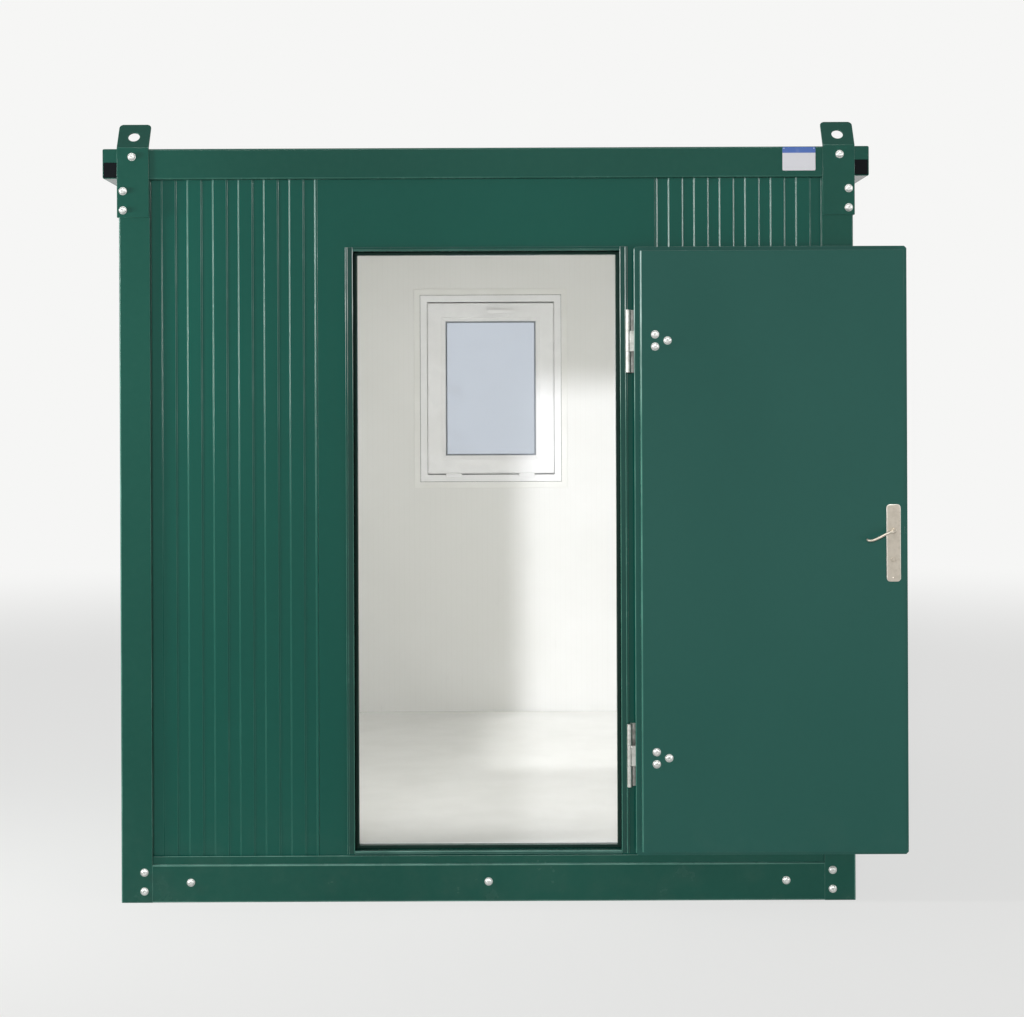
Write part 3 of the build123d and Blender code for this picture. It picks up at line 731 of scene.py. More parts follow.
class Shape:
    """A mesh being made, with a mark on the faces of its small edge radii."""

    MARK = "edge"

    def __init__(self) -> None:
        """Starts an empty mesh."""
        self.bm = bmesh.new()
        self.bm.faces.layers.float.new(self.MARK)

    @classmethod
    def of_node(cls, node: str) -> Shape:
        """A merged copy of a CAD node, with its flat faces whole again.

        Args:
            node: The node's name.

        Returns:
            The copy.
        """
        shape = cls()
        shape.bm.from_mesh(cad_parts[node].data)
        bmesh.ops.remove_doubles(shape.bm, verts=shape.bm.verts, dist=MERGE_GAP)
        bmesh.ops.dissolve_limit(
            shape.bm, angle_limit=JOIN_ANGLE, use_dissolve_boundaries=False,
            verts=shape.bm.verts, edges=shape.bm.edges, delimit={"NORMAL"})
        return shape.shade()

    @classmethod
    def of_box(cls, low: Sequence[float], high: Sequence[float]) -> Shape:
        """A block between two corners.

        Args:
            low: Its lowest corner.
            high: Its highest corner.

        Returns:
            The block.
        """
        shape = cls()
        size = Vector(high) - Vector(low)
        middle = Matrix.Translation((Vector(high) + Vector(low)) / 2)
        bmesh.ops.create_cube(shape.bm, size=1.0, matrix=middle @ Matrix.Diagonal((*size, 1.0)))
        return shape

    @classmethod
    def of_turning(cls, profile: Pairs, steps: int) -> Shape:
        """A turned shape round its own Z axis, with an open end wherever the profile stops off the axis.

        Args:
            profile: Radius and height of each point in millimetres, from the foot up.
            steps: Faces round the turn.

        Returns:
            The turned shape.
        """
        shape = cls()
        points = [shape.bm.verts.new((radius * MM, 0.0, height * MM)) for radius, height in profile]
        lines = [shape.bm.edges.new(pair) for pair in zip(points, points[1:])]
        bmesh.ops.spin(
            shape.bm, geom=[*points, *lines], cent=(0, 0, 0), axis=UP, dvec=(0, 0, 0),
            angle=2 * math.pi, steps=steps, use_merge=True, use_duplicate=False)
        return shape.clean()

    def clean(self) -> Shape:
        """Merges doubles, turns the faces outwards and sets the shading."""
        bmesh.ops.remove_doubles(self.bm, verts=self.bm.verts, dist=MERGE_GAP)
        bmesh.ops.recalc_face_normals(self.bm, faces=self.bm.faces)
        return self.shade()

    def shade(self) -> Shape:
        """Shades softly bent faces round and leaves flat ones flat.

        Returns:
            The same shape.
        """
        for edge in self.bm.edges:
            edge.smooth = edge.is_manifold and edge.calc_face_angle(0.0) < CREASE_ANGLE
        for face in self.bm.faces:
            bends = [edge.calc_face_angle(0.0) for edge in face.edges if edge.is_manifold]
            face.smooth = any(FLAT_ANGLE < bend < CREASE_ANGLE for bend in bends)
        return self

    def soften(self, radius: float, segments: int = 2,
               choose: Optional[Callable[[Edge], bool]] = None) -> Shape:
        """Puts a small radius on the creased edges and marks its faces.

        Args:
            radius: The radius.
            segments: Faces across it.
            choose: Picks among the creased edges, which all count without it.

        Returns:
            The same shape.
        """
        edges = [
            edge for edge in self.bm.edges
            if edge.is_manifold and edge.calc_face_angle(0.0) > CREASE_ANGLE
            and (choose is None or choose(edge))]
        result = bmesh.ops.bevel(
            self.bm, geom=edges, offset=radius, offset_type="OFFSET", segments=segments,
            profile=0.5, affect="EDGES", clamp_overlap=True, material=-1)
        mark = self.bm.faces.layers.float[self.MARK]
        for face in result["faces"]:
            face[mark] = 1.0
            face.smooth = True
        return self

    def step_side(self, outward: Vector, steps: Pairs) -> None:
        """Shapes the largest face of one side into mitred steps, and takes their innermost face away.

        Args:
            outward: The direction that the side looks in.
            steps: Width and rise of each step, from the rim inwards; a width of 0 is an upright step.
        """
        side = max(
            (face for face in self.bm.faces if face.normal.dot(outward) > FACING),
            key=lambda face: face.calc_area())
        for width, rise in steps:
            if width:
                bmesh.ops.inset_region(
                    self.bm, faces=[side], thickness=width, depth=rise, use_even_offset=True)
            else:
                side = bmesh.ops.extrude_discrete_faces(self.bm, faces=[side])["faces"][0]
                bmesh.ops.translate(self.bm, vec=outward * rise, verts=side.verts)
        bmesh.ops.delete(self.bm, geom=[side], context="FACES_ONLY")

    @classmethod
    def of_ring(cls, low: Vector, high: Vector, near: Pairs, far: Pairs) -> Shape:
        """A mitred ring from a block, stepped on its room side and its outer side.

        Args:
            low: Lowest corner.
            high: Highest corner.
            near: Width and rise of each step on the room side.
            far: Width and rise of each step on the outer side.

        Returns:
            The closed ring.
        """
        shape = cls.of_box(low, high)
        shape.step_side(OUT, near)
        shape.step_side(IN, far)
        bmesh.ops.bridge_loops(shape.bm, edges=[edge for edge in shape.bm.edges if edge.is_boundary])
        return shape.clean()

    def close(self) -> Shape:
        """Closes every open loop with a face."""
        bmesh.ops.holes_fill(self.bm, edges=[edge for edge in self.bm.edges if edge.is_boundary], sides=0)
        return self.clean()

    def stamp(self, pattern: Shape, places: Iterable[Matrix] = IN_PLACE) -> Shape:
        """Adds a copy of another shape at each place.

        Args:
            pattern: The shape that is copied, round its own origin.
            places: Where the copies go.

        Returns:
            The same shape.
        """
        mesh = bpy.data.meshes.new("pattern")
        pattern.bm.to_mesh(mesh)
        for place in places:
            earlier = set(self.bm.verts)
            self.bm.from_mesh(mesh)
            copied = [vertex for vertex in self.bm.verts if vertex not in earlier]
            bmesh.ops.transform(self.bm, matrix=place, verts=copied)
        bpy.data.meshes.remove(mesh)
        return self

    def lumps(self) -> list[Corners]:
        """The lowest and highest corner of each separate lump of the mesh.

        Returns:
            A pair of corners for each lump.
        """
        left = set(self.bm.verts)
        boxes = []
        while left:
            lump = [left.pop()]
            for vertex in lump:
                near = {edge.other_vert(vertex) for edge in vertex.link_edges} & left
                left -= near
                lump.extend(near)
            boxes.append(box_of([vertex.co for vertex in lump]))
        return boxes

    def to_object(self, name: str, finishes: Sequence[Finish]) -> bpy.types.Object:
        """Ends the mesh as an object at the origin, with its finishes.

        Args:
            name: The object's name.
            finishes: One finish for each material number used on the faces.

        Returns:
            The new object.
        """
        mesh = bpy.data.meshes.new(name)
        self.bm.to_mesh(mesh)
        self.bm.free()
        for finish in finishes:
            mesh.materials.append(finish.material())
        piece = bpy.data.objects.new(name, mesh)
        bpy.context.scene.collection.objects.link(piece)
        return piece


class SubAssembly:
    """What every group of pieces does: dress a CAD node, or put a finer piece in its place."""

    def keep(self, finish: Finish, node: str) -> None:
        """Leaves a CAD node as it is and gives it a finish.

        Args:
            finish: The finish.
            node: The node's name.
        """
        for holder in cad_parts[node].material_slots:
            holder.material = finish.material()
        log.info("%s keeps its shape and takes %s", node, finish.name)

    def fit(self, shape: Shape, name: str, slot: Slot, *finishes: Finish, body: Body = Body.CABIN,
            replaces: Sequence[str] = ()) -> None:
        """Ends a shape as a piece of the cabin.

        Args:
            shape: The finished shape.
            name: The piece's name.
            slot: Not used.
            finishes: Its own finishes, in the order of its material numbers.
            body: The body that it moves with.
            replaces: CAD nodes that it stands for.
        """
        piece = shape.to_object(name, finishes)
        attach(piece, body.value)
        if replaces:
            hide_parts(*replaces)
        log.info("%s: %d faces, moves with %s", name, len(piece.data.polygons), body.value)

    def refine(self, node: str, ending: str, radius: float, slot: Slot, finish: Finish,
               body: Body = Body.CABIN, segments: int = 2) -> None:
        """Replaces a CAD node by a copy whose edges have a small radius."""
        shape = Shape.of_node(node).soften(radius, segments)
        self.fit(shape, node + ending, slot, finish, body=body, replaces=[node])


# ---------------------------------------------------------------- steel frame
@dataclass
class SteelFrame(SubAssembly):
    """The folded steel frame: base rails, corner posts, roof rails, brackets and joists."""

    sheet_edge: float = 1.2 * MM
    fold_radius: float = 5.0 * MM
    fold_segments: int = 4
    track_radius: float = 2.4 * MM
    track_segments: int = 3
    plug_edge: float = 1.5 * MM

    def build(self) -> None:
        """Builds all the frame's pieces."""
        for side in ("front", "back", "left", "right"):
            self.build_section("base_rail_" + side)
            self.build_section("roof_rail_" + side)
        for end in ("front", "back"):
            for side in ("left", "right"):
                self.build_section(f"post_{end}_{side}")
            self.refine(f"lifting_brackets_{end}", "_plate", self.sheet_edge, Slot.FRAME_PAINT, FRAME_GREEN)
        self.refine("gutter_plugs", "_moulded", self.plug_edge, Slot.BLACK_PLASTIC, PLUG_BLACK)
        self.keep(FRAME_GREEN, "floor_joists")

    def build_section(self, node: str) -> None:
        """A folded section: round at its outer fold, with a small radius on its cut edges.

        Args:
            node: The rail or post that it stands for.
        """
        low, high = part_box(node)
        outer = [max(low[axis], high[axis], key=abs) for axis in (X, Y)]
        across = Y if high.x - low.x > high.y - low.y else X
        shape = Shape.of_node(node)
        heights = [vertex.co.z for vertex in shape.bm.verts if abs(vertex.co[across] - outer[across]) < MM]

        def on_post_fold(edge: Edge) -> bool:
            """Whether an edge of a post lies along its outer fold."""
            return all(lies_at(edge, axis, outer[axis], MM) for axis in (X, Y))

        def on_rail_fold(edge: Edge) -> bool:
            """Whether an edge of a rail lies along one of its outer folds."""
            return lies_at(edge, across, outer[across], MM) and any(
                lies_at(edge, Z, height, MM) for height in (min(heights), max(heights)))

        on_fold = on_post_fold if node.startswith("post") else on_rail_fold
        shape.soften(self.fold_radius, self.fold_segments, on_fold)
        if node.startswith("base_rail"):
            shape.soften(self.track_radius, self.track_segments, lambda edge: lies_at(edge, Z, high.z))
        shape.soften(self.sheet_edge)
        self.fit(shape, node + "_folded", Slot.FRAME_PAINT, FRAME_GREEN, replaces=[node])


# ---------------------------------------------------------------- bolts
@dataclass
class BoltHeads(SubAssembly):
    """Domed bolt heads with a washer flange and a hexagon socket, in millimetres."""

    flange: float = 13.5
    flange_height: float = 1.4
    flange_edge: float = 0.6
    flange_round: float = 0.5
    dome: float = 11.6
    dome_foot: float = 12.0
    height: float = 7.9
    crown: float = 5.4
    socket: float = 4.3
    socket_depth: float = 4.0
    steps: int = 28
    dome_steps: int = 6

    def head(self) -> Shape:
        """One bolt head, standing on its own origin.

        Returns:
            The head.
        """
        step = self.flange_height
        profile = [(self.flange, 0.0), (self.flange, step * self.flange_edge),
                   (self.flange - self.flange_round, step), (self.dome_foot, step)]
        end = math.acos(self.crown / self.dome)
        for number in range(self.dome_steps + 1):
            angle = end * number / self.dome_steps
            rise = math.sin(angle) / math.sin(end)
            profile.append((self.dome * math.cos(angle), step + (self.height - step) * rise))
        shape = Shape.of_turning(profile, self.steps)
        top = self.height * MM
        opening = [edge for edge in shape.bm.edges
                   if edge.is_boundary and all(vertex.co.z > top / 2 for vertex in edge.verts)]
        hexagon = bmesh.ops.create_circle(
            shape.bm, cap_ends=False, radius=self.socket * MM, segments=6,
            matrix=Matrix.Translation((0, 0, top)))
        rim = list({edge for vertex in hexagon["verts"] for edge in vertex.link_edges})
        bmesh.ops.bridge_loops(shape.bm, edges=opening + rim)
        drawn = bmesh.ops.extrude_edge_only(shape.bm, edges=rim)
        deep = [item for item in drawn["geom"] if isinstance(item, bmesh.types.BMVert)]
        bmesh.ops.translate(shape.bm, vec=UP * (-self.socket_depth * MM), verts=deep)
        return shape.close()

    def build(self) -> None:
        """Puts a head at every bolt of the frame."""
        places = []
        for low, high in Shape.of_node("frame_bolts").lumps():
            thin = min((X, Y, Z), key=lambda axis: high[axis] - low[axis])
            foot = (low + high) / 2
            outward = Vector((0, 0, 0))
            outward[thin] = math.copysign(1.0, foot[thin])
            foot[thin] = min(low[thin], high[thin], key=abs)
            places.append(turn_up_to(outward, foot))
        shape = Shape().stamp(self.head(), places)
        self.fit(shape, "frame_bolt_heads", Slot.ZINC_BOLT, ZINC, replaces=["frame_bolts"])


# ---------------------------------------------------------------- walls
@dataclass
class Walls(SubAssembly):
    """Ribbed sandwich walls: green coated sheet outside, pale lining in the room."""

    rib_radius: float = 0.7 * MM
    rib_segments: int = 3
    bead_setback: float = 0.15 * MM
    bead_depth: float = 3.0 * MM
    modules: tuple[str, ...] = (
        "front_panel_left", "front_panel_right", "side_panels_left", "side_panels_right",
        "back_panel_left", "back_panel_right", "back_panel_window")
    surround: tuple[str, ...] = ("door_surround_left", "door_surround_right", "door_surround_top")

    def build(self) -> None:
        """Builds the wall modules, the sheet round the doorway and the beads in the joints."""
        for node in self.modules:
            self.fit_sheet(Shape.of_node(node), node + "_sheet", [node])
        self.build_surround()
        self.build_joint_beads()

    def fit_sheet(self, shape: Shape, name: str, replaces: Sequence[str]) -> None:
        """Rounds a wall sheet's outer folds, and gives the lining to the faces on the room's side.

        Args:
            shape: The sheet.
            name: The piece's name.
            replaces: CAD nodes that it stands for.
        """
        shape.soften(self.rib_radius, self.rib_segments, self.is_outside)
        for face in shape.bm.faces:
            face.material_index = 1 if self.in_room(face.calc_center_median()) else 0
        self.fit(shape, name, Slot.WALL_PANEL, PANEL_GREEN, LINING, replaces=replaces)

    def build_joint_beads(self) -> None:
        """A bead of pale sealant in each upright joint of the back and side linings."""
        room_low, room_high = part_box("floor_covering")
        foot, top = room_high.z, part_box("ceiling_panel")[0].z
        shape = Shape()
        window_low, window_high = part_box("back_panel_window")
        left_high, right_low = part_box("back_panel_left")[1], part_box("back_panel_right")[0]
        near, far = room_high.y + self.bead_setback, room_high.y + self.bead_depth
        for start, end in sorted(((left_high.x, window_low.x), (window_high.x, right_low.x))):
            shape.stamp(Shape.of_box((start, near, foot), (end, far, top)))
        for side, face, outward in (("left", room_low.x, -1.0), ("right", room_high.x, 1.0)):
            lumps = sorted(Shape.of_node("side_panels_" + side).lumps(), key=lambda box: box[0].y)
            near, far = sorted((face + outward * self.bead_setback, face + outward * self.bead_depth))
            for before, after in zip(lumps, lumps[1:]):
                shape.stamp(Shape.of_box((near, before[1].y, foot), (far, after[0].y, top)))
        self.fit(shape, "lining_joint_beads", Slot.WALL_PANEL, LINING)

    def in_room(self, point: Vector) -> bool:
        """Whether a point is on the room's side of the walls, or on their inner faces."""
        low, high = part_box("floor_covering")
        return all(low[axis] - MM < point[axis] < high[axis] + MM for axis in (X, Y))

    def is_outside(self, edge: Edge) -> bool:
        """Whether an edge is away from the room, where the sheet's folds show."""
        return not any(self.in_room(vertex.co) for vertex in edge.verts)

    def build_surround(self) -> None:
        """One flat sheet round three sides of the doorway, cut from a grid."""
        left_low, left_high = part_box("door_surround_left")
        right_low, right_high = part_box("door_surround_right")
        top_low, top_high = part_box("door_surround_top")
        across = (left_low.x, left_high.x, right_low.x, right_high.x)
        upward = (left_low.z, top_low.z, top_high.z)
        columns, rows = len(across) - 1, len(upward) - 1
        shape = Shape()
        bmesh.ops.create_grid(shape.bm, x_segments=columns, y_segments=rows, size=1.0)
        for vertex in shape.bm.verts:
            column = round((vertex.co.x + 1.0) / 2 * columns)
            row = round((vertex.co.y + 1.0) / 2 * rows)
            vertex.co = (across[column], left_low.y, upward[row])
        middles = [(face, face.calc_center_median()) for face in shape.bm.faces]
        doorway = [face for face, middle in middles
                   if left_high.x < middle.x < right_low.x and middle.z < top_low.z]
        bmesh.ops.delete(shape.bm, geom=doorway, context="FACES")
        drawn = bmesh.ops.extrude_face_region(shape.bm, geom=list(shape.bm.faces))
        moved = [item for item in drawn["geom"] if isinstance(item, bmesh.types.BMVert)]
        bmesh.ops.translate(shape.bm, vec=(0, left_high.y - left_low.y, 0), verts=moved)
        self.fit_sheet(shape.clean(), "door_surround_sheet", self.surround)


# ---------------------------------------------------------------- doorway
@dataclass
class DoorFrame(SubAssembly):
    """Folded steel jambs, head and sill with the rubber seal."""

    rim_radius: float = 2.6 * MM
    fold_radius: float = 5.0 * MM
    fold_segments: int = 4
    fold_reach: float = 12.0 * MM
    fold_gap: float = 0.1 * MM
    steel_edge: float = 0.8 * MM
    long_edge: float = 0.3
    seal_edge: float = 1.8 * MM

    def build(self) -> None:
        """Builds the pieces round the doorway."""
        # The jambs take the copy of the paint with near-white painted highlights on their edges.
        paints = {"door_jambs": JAMB_GREEN, "door_head": SILL_GREEN, "door_threshold": SILL_GREEN}
        for node, paint in paints.items():
            shape = Shape.of_node(node).soften(self.fold_radius, self.fold_segments, self.on_fold)
            shape.soften(self.rim_radius, self.fold_segments, self.on_rim).soften(self.steel_edge)
            self.fit(shape, node + "_folded", Slot.DOOR_FRAME_PAINT, paint, replaces=[node])
        self.refine("door_seal", "_rubber", self.seal_edge, Slot.RUBBER_SEAL, RUBBER)

    def lies_along(self, edge: Edge) -> Optional[int]:
        """The axis that a front edge of the door frame runs along.

        Args:
            edge: Any edge of the frame.

        Returns:
            The axis, or None if it isn't one of the long edges at the front.
        """
        first, last = (vertex.co for vertex in edge.verts)
        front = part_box("door_jambs")[0].y
        if max(first.y, last.y) > front + self.fold_reach or (first - last).length < self.long_edge:
            return None
        return Z if abs(first.z - last.z) > abs(first.x - last.x) else X

    def on_fold(self, edge: Edge) -> bool:
        """Whether an edge is the fold into the rebate, or the nose of the sill.

        Args:
            edge: Any edge of the frame.

        Returns:
            True on those folds.
        """
        low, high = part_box("door_seal")
        axis = self.lies_along(edge)
        at = edge.verts[0].co
        if axis == Z:
            return abs(abs(at.x) - high.x) < self.fold_gap
        return axis == X and min(abs(at.z - high.z), abs(at.z - low.z)) < self.fold_gap

    def on_rim(self, edge: Edge) -> bool:
        """Whether an edge is one of the other long edges at the front."""
        return self.lies_along(edge) is not None and not self.on_fold(edge)


@dataclass
class DoorLeaf(SubAssembly):
    """The insulated leaf, its hinges and the bolts that hold them."""

    leaf_fold: float = 5.0 * MM
    lip_fold: float = 3.0 * MM
    fold_segments: int = 4
    leaf_edge: float = 1.5 * MM
    leaf_segments: int = 3
    long_edge: float = 0.3
    hinge_edge: float = 0.7 * MM
    bolt_reach: tuple[float, float] = (67.0 * MM, 108.0 * MM)
    bolt_spread: float = 20.0 * MM

    def build(self) -> None:
        """Builds the leaf with its hinges."""
        leaf = Shape.of_node("door_leaf").soften(self.leaf_fold, self.fold_segments, self.on_fold)
        leaf.soften(self.lip_fold, self.fold_segments, self.on_lip).soften(self.leaf_edge, self.leaf_segments)
        self.fit(leaf, "door_leaf_skin", Slot.DOOR_PAINT, DOOR_GREEN, body=Body.DOOR, replaces=["door_leaf"])
        self.refine("door_hinges", "_strap", self.hinge_edge, Slot.ZINC_HINGE, HINGE_ZINC, Body.DOOR)
        self.refine("wall_hinges", "_plate", self.hinge_edge, Slot.ZINC_HINGE, HINGE_ZINC)
        self.build_bolts(BoltHeads())

    def on_fold(self, edge: Edge) -> bool:
        """Whether an edge is the upright fold of the inner face on the hinge side."""
        low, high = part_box("door_leaf")
        return (runs_along(edge, Z, self.long_edge) and lies_at(edge, Y, low.y)
                and edge.verts[0].co.x < (low.x + high.x) / 2)

    def on_lip(self, edge: Edge) -> bool:
        """Whether an edge is the front one of the lip on the hinge side."""
        low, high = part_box("door_leaf")
        return (runs_along(edge, Z, self.long_edge) and lies_at(edge, X, low.x)
                and all(vertex.co.y < high.y - MM for vertex in edge.verts))

    def build_bolts(self, bolts: BoltHeads) -> None:
        """Three heads for each hinge, on the leaf's inner face.

        Args:
            bolts: The heads that the frame's bolts have too.
        """
        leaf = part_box("door_leaf")[0]
        near, far = (leaf.x + reach for reach in self.bolt_reach)
        places = []
        for low, high in Shape.of_node("door_hinges").lumps():
            middle = (low.z + high.z) / 2
            for x, z in ((near, middle - self.bolt_spread), (near, middle + self.bolt_spread), (far, middle)):
                places.append(turn_up_to(OUT, Vector((x, leaf.y, z))))
        shape = Shape().stamp(bolts.head(), places)
        self.fit(shape, "hinge_bolt_heads", Slot.ZINC_BOLT, ZINC, body=Body.DOOR)


# ---------------------------------------------------------------- lock
@dataclass
class LockSet(SubAssembly):
    """Lever handles, handle plates with the key cylinder, and the lock's faceplate.

    The turned profiles and the lever's knots are in millimetres. Each knot is a point of the arm's middle
    line and the direction it runs in there: along X, away from the leaf, and up.
    """

    plate_corner: float = 12.0 * MM
    corner_segments: int = 6
    plate_thickness: float = 8.0 * MM
    plate_edge: float = 2.2 * MM
    plate_segments: int = 3
    cylinder_from_foot: float = 73.5 * MM
    cylinder: Pairs = ((8.5, -0.5), (8.5, 2.2), (7.7, 3.0), (5.78, 3.0), (5.44, 2.4), (5.1, 2.9), (0.0, 2.9))
    key_slot_half: tuple[float, float] = (0.9 * MM, 3.57 * MM)
    key_slot_rise: tuple[float, float] = (2.3 * MM, 3.0 * MM)
    key_slot_edge: float = 0.25 * MM
    screw_inset: float = 13.0 * MM
    screw: Pairs = ((3.6, -0.5), (3.6, 0.2), (2.88, 0.8), (1.512, 1.0), (1.152, -0.6), (0.0, -0.9))
    spindle: float = 5.0
    collar: Pairs = ((9.0, 0.0), (9.0, 5.5), (8.2, 6.82), (7.6, 11.0), (6.6, 11.8))
    root_gap: float = 0.3 * MM
    steps: int = 28
    spindle_steps: int = 20
    screw_steps: int = 16
    knots: tuple[tuple[Point, Point], ...] = (
        ((0, 4, 0), (0, 22, 0)), ((-20, 44, -3), (-14, 1, -4)),
        ((-75, 44.5, -28), (-14, -1, -4)), ((-94, 31, -26), (-1, -9, 3)))
    arm_radius: float = 4.4 * MM
    arm_taper: tuple[float, float] = (1.0 * MM, 0.8 * MM)
    arm_end: float = 2.0 * MM
    arm_rings: int = 9
    arm_segments: int = 24
    faceplate_edge: float = 0.6 * MM

    def build(self) -> None:
        """Builds the lock's visible pieces."""
        self.build_plates()
        self.build_lever()
        self.refine("lock_faceplate", "_satin", self.faceplate_edge, Slot.SATIN_STEEL, SATIN, Body.DOOR)

    def faces(self) -> tuple[tuple[float, float], ...]:
        """The two faces of the leaf: where each one is along Y, and which way it looks."""
        low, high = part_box("door_leaf")
        return ((low.y, -1.0), (high.y, 1.0))

    def build_plates(self) -> None:
        """Two rounded plates with their screws, and the key cylinder through the leaf."""
        low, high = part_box("handle_plates")
        middle_x = (low.x + high.x) / 2
        shape = Shape()
        for face_y, outward in self.faces():
            plate_y = face_y + outward * self.plate_thickness
            near, far = sorted((face_y, plate_y))
            plate = Shape.of_box((low.x, near, low.z), (high.x, far, high.z))
            plate.soften(self.plate_corner, self.corner_segments, lambda edge: runs_along(edge, Y, MM))
            plate.soften(self.plate_edge, self.plate_segments, lambda edge: lies_at(edge, Y, plate_y))
            shape.stamp(plate)
            heights = (low.z + self.screw_inset, high.z - self.screw_inset, low.z + self.cylinder_from_foot)
            foot, head, key = (turn_up_to(IN * outward, Vector((middle_x, plate_y, z))) for z in heights)
            shape.stamp(Shape.of_turning(self.screw, self.screw_steps).close(), (foot, head))
            shape.stamp(self.cylinder_end(), [key])
        self.fit(shape, "handle_plates_satin", Slot.SATIN_STEEL, SATIN, body=Body.DOOR,
                 replaces=["handle_plates"])

    def cylinder_end(self) -> Shape:
        """The end of the key cylinder, with a plug and a key slot.

        Returns:
            The end, standing on its own origin.
        """
        wide, tall = self.key_slot_half
        foot, top = self.key_slot_rise
        slot = Shape.of_box((-wide, -tall, foot), (wide, tall, top)).soften(self.key_slot_edge)
        return Shape.of_turning(self.cylinder, self.steps).close().stamp(slot)

    def build_lever(self) -> None:
        """Both levers on their spindle: a collar, a neck, and an arm that sways down to its end."""
        plates_low, plates_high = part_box("handle_plates")
        middle_x = (plates_low.x + plates_high.x) / 2
        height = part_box("door_lever")[1].z - self.collar[0][0] * MM
        shape = Shape()
        for face_y, outward in self.faces():
            root = Vector((middle_x, face_y + outward * (self.plate_thickness + self.root_gap), height))
            collar = Shape.of_turning(self.collar, self.steps).close()
            shape.stamp(collar, [turn_up_to(IN * outward, root)])
            shape.stamp(self.arm(outward), [Matrix.Translation(root)])
        (near, _), (far, _) = self.faces()
        length = far - near + 2 * self.plate_thickness
        rod = Shape.of_turning([(self.spindle, 0.0), (self.spindle, length / MM)], self.spindle_steps).close()
        shape.stamp(rod, [turn_up_to(IN, Vector((middle_x, near - self.plate_thickness, height)))])
        self.fit(shape, "door_lever_satin", Slot.SATIN_STEEL, SATIN, body=Body.LEVER, replaces=["door_lever"])

    def arm(self, outward: float) -> Shape:
        """The swept arm, from the collar out, along and back to the leaf at its end.

        Args:
            outward: 1 or -1, the side of the leaf.

        Returns:
            The arm round its own root.
        """
        side = Vector((MM, outward * MM, MM))
        knots = [(Vector(point) * side, Vector(way) * side) for point, way in self.knots]
        line: list[Vector] = []
        for (start, leave), (end, arrive) in zip(knots, knots[1:]):
            points = interpolate_bezier(start, start + leave, end - arrive, end, self.arm_rings)
            line.extend(points[1:] if line else points)
        shape = Shape()
        loops = []
        last = len(line) - 1
        for number, point in enumerate(line):
            ahead = line[min(number + 1, last)] - line[max(number - 1, 0)]
            thick, tall = (self.arm_radius - less * number / last for less in self.arm_taper)
            across = UP.cross(ahead).normalized()
            upright = ahead.cross(across).normalized()
            turn = Matrix((across, upright, ahead.normalized())).transposed().to_4x4()
            place = Matrix.Translation(point) @ turn @ Matrix.Diagonal((thick, tall, 1.0, 1.0))
            ring = bmesh.ops.create_circle(
                shape.bm, cap_ends=number in (0, last), radius=1.0, segments=self.arm_segments, matrix=place)
            loops.append(list({edge for vertex in ring["verts"] for edge in vertex.link_edges}))
        for first, second in zip(loops, loops[1:]):
            bmesh.ops.bridge_loops(shape.bm, edges=first + second)
        return shape.clean().soften(self.arm_end, self.plate_segments)


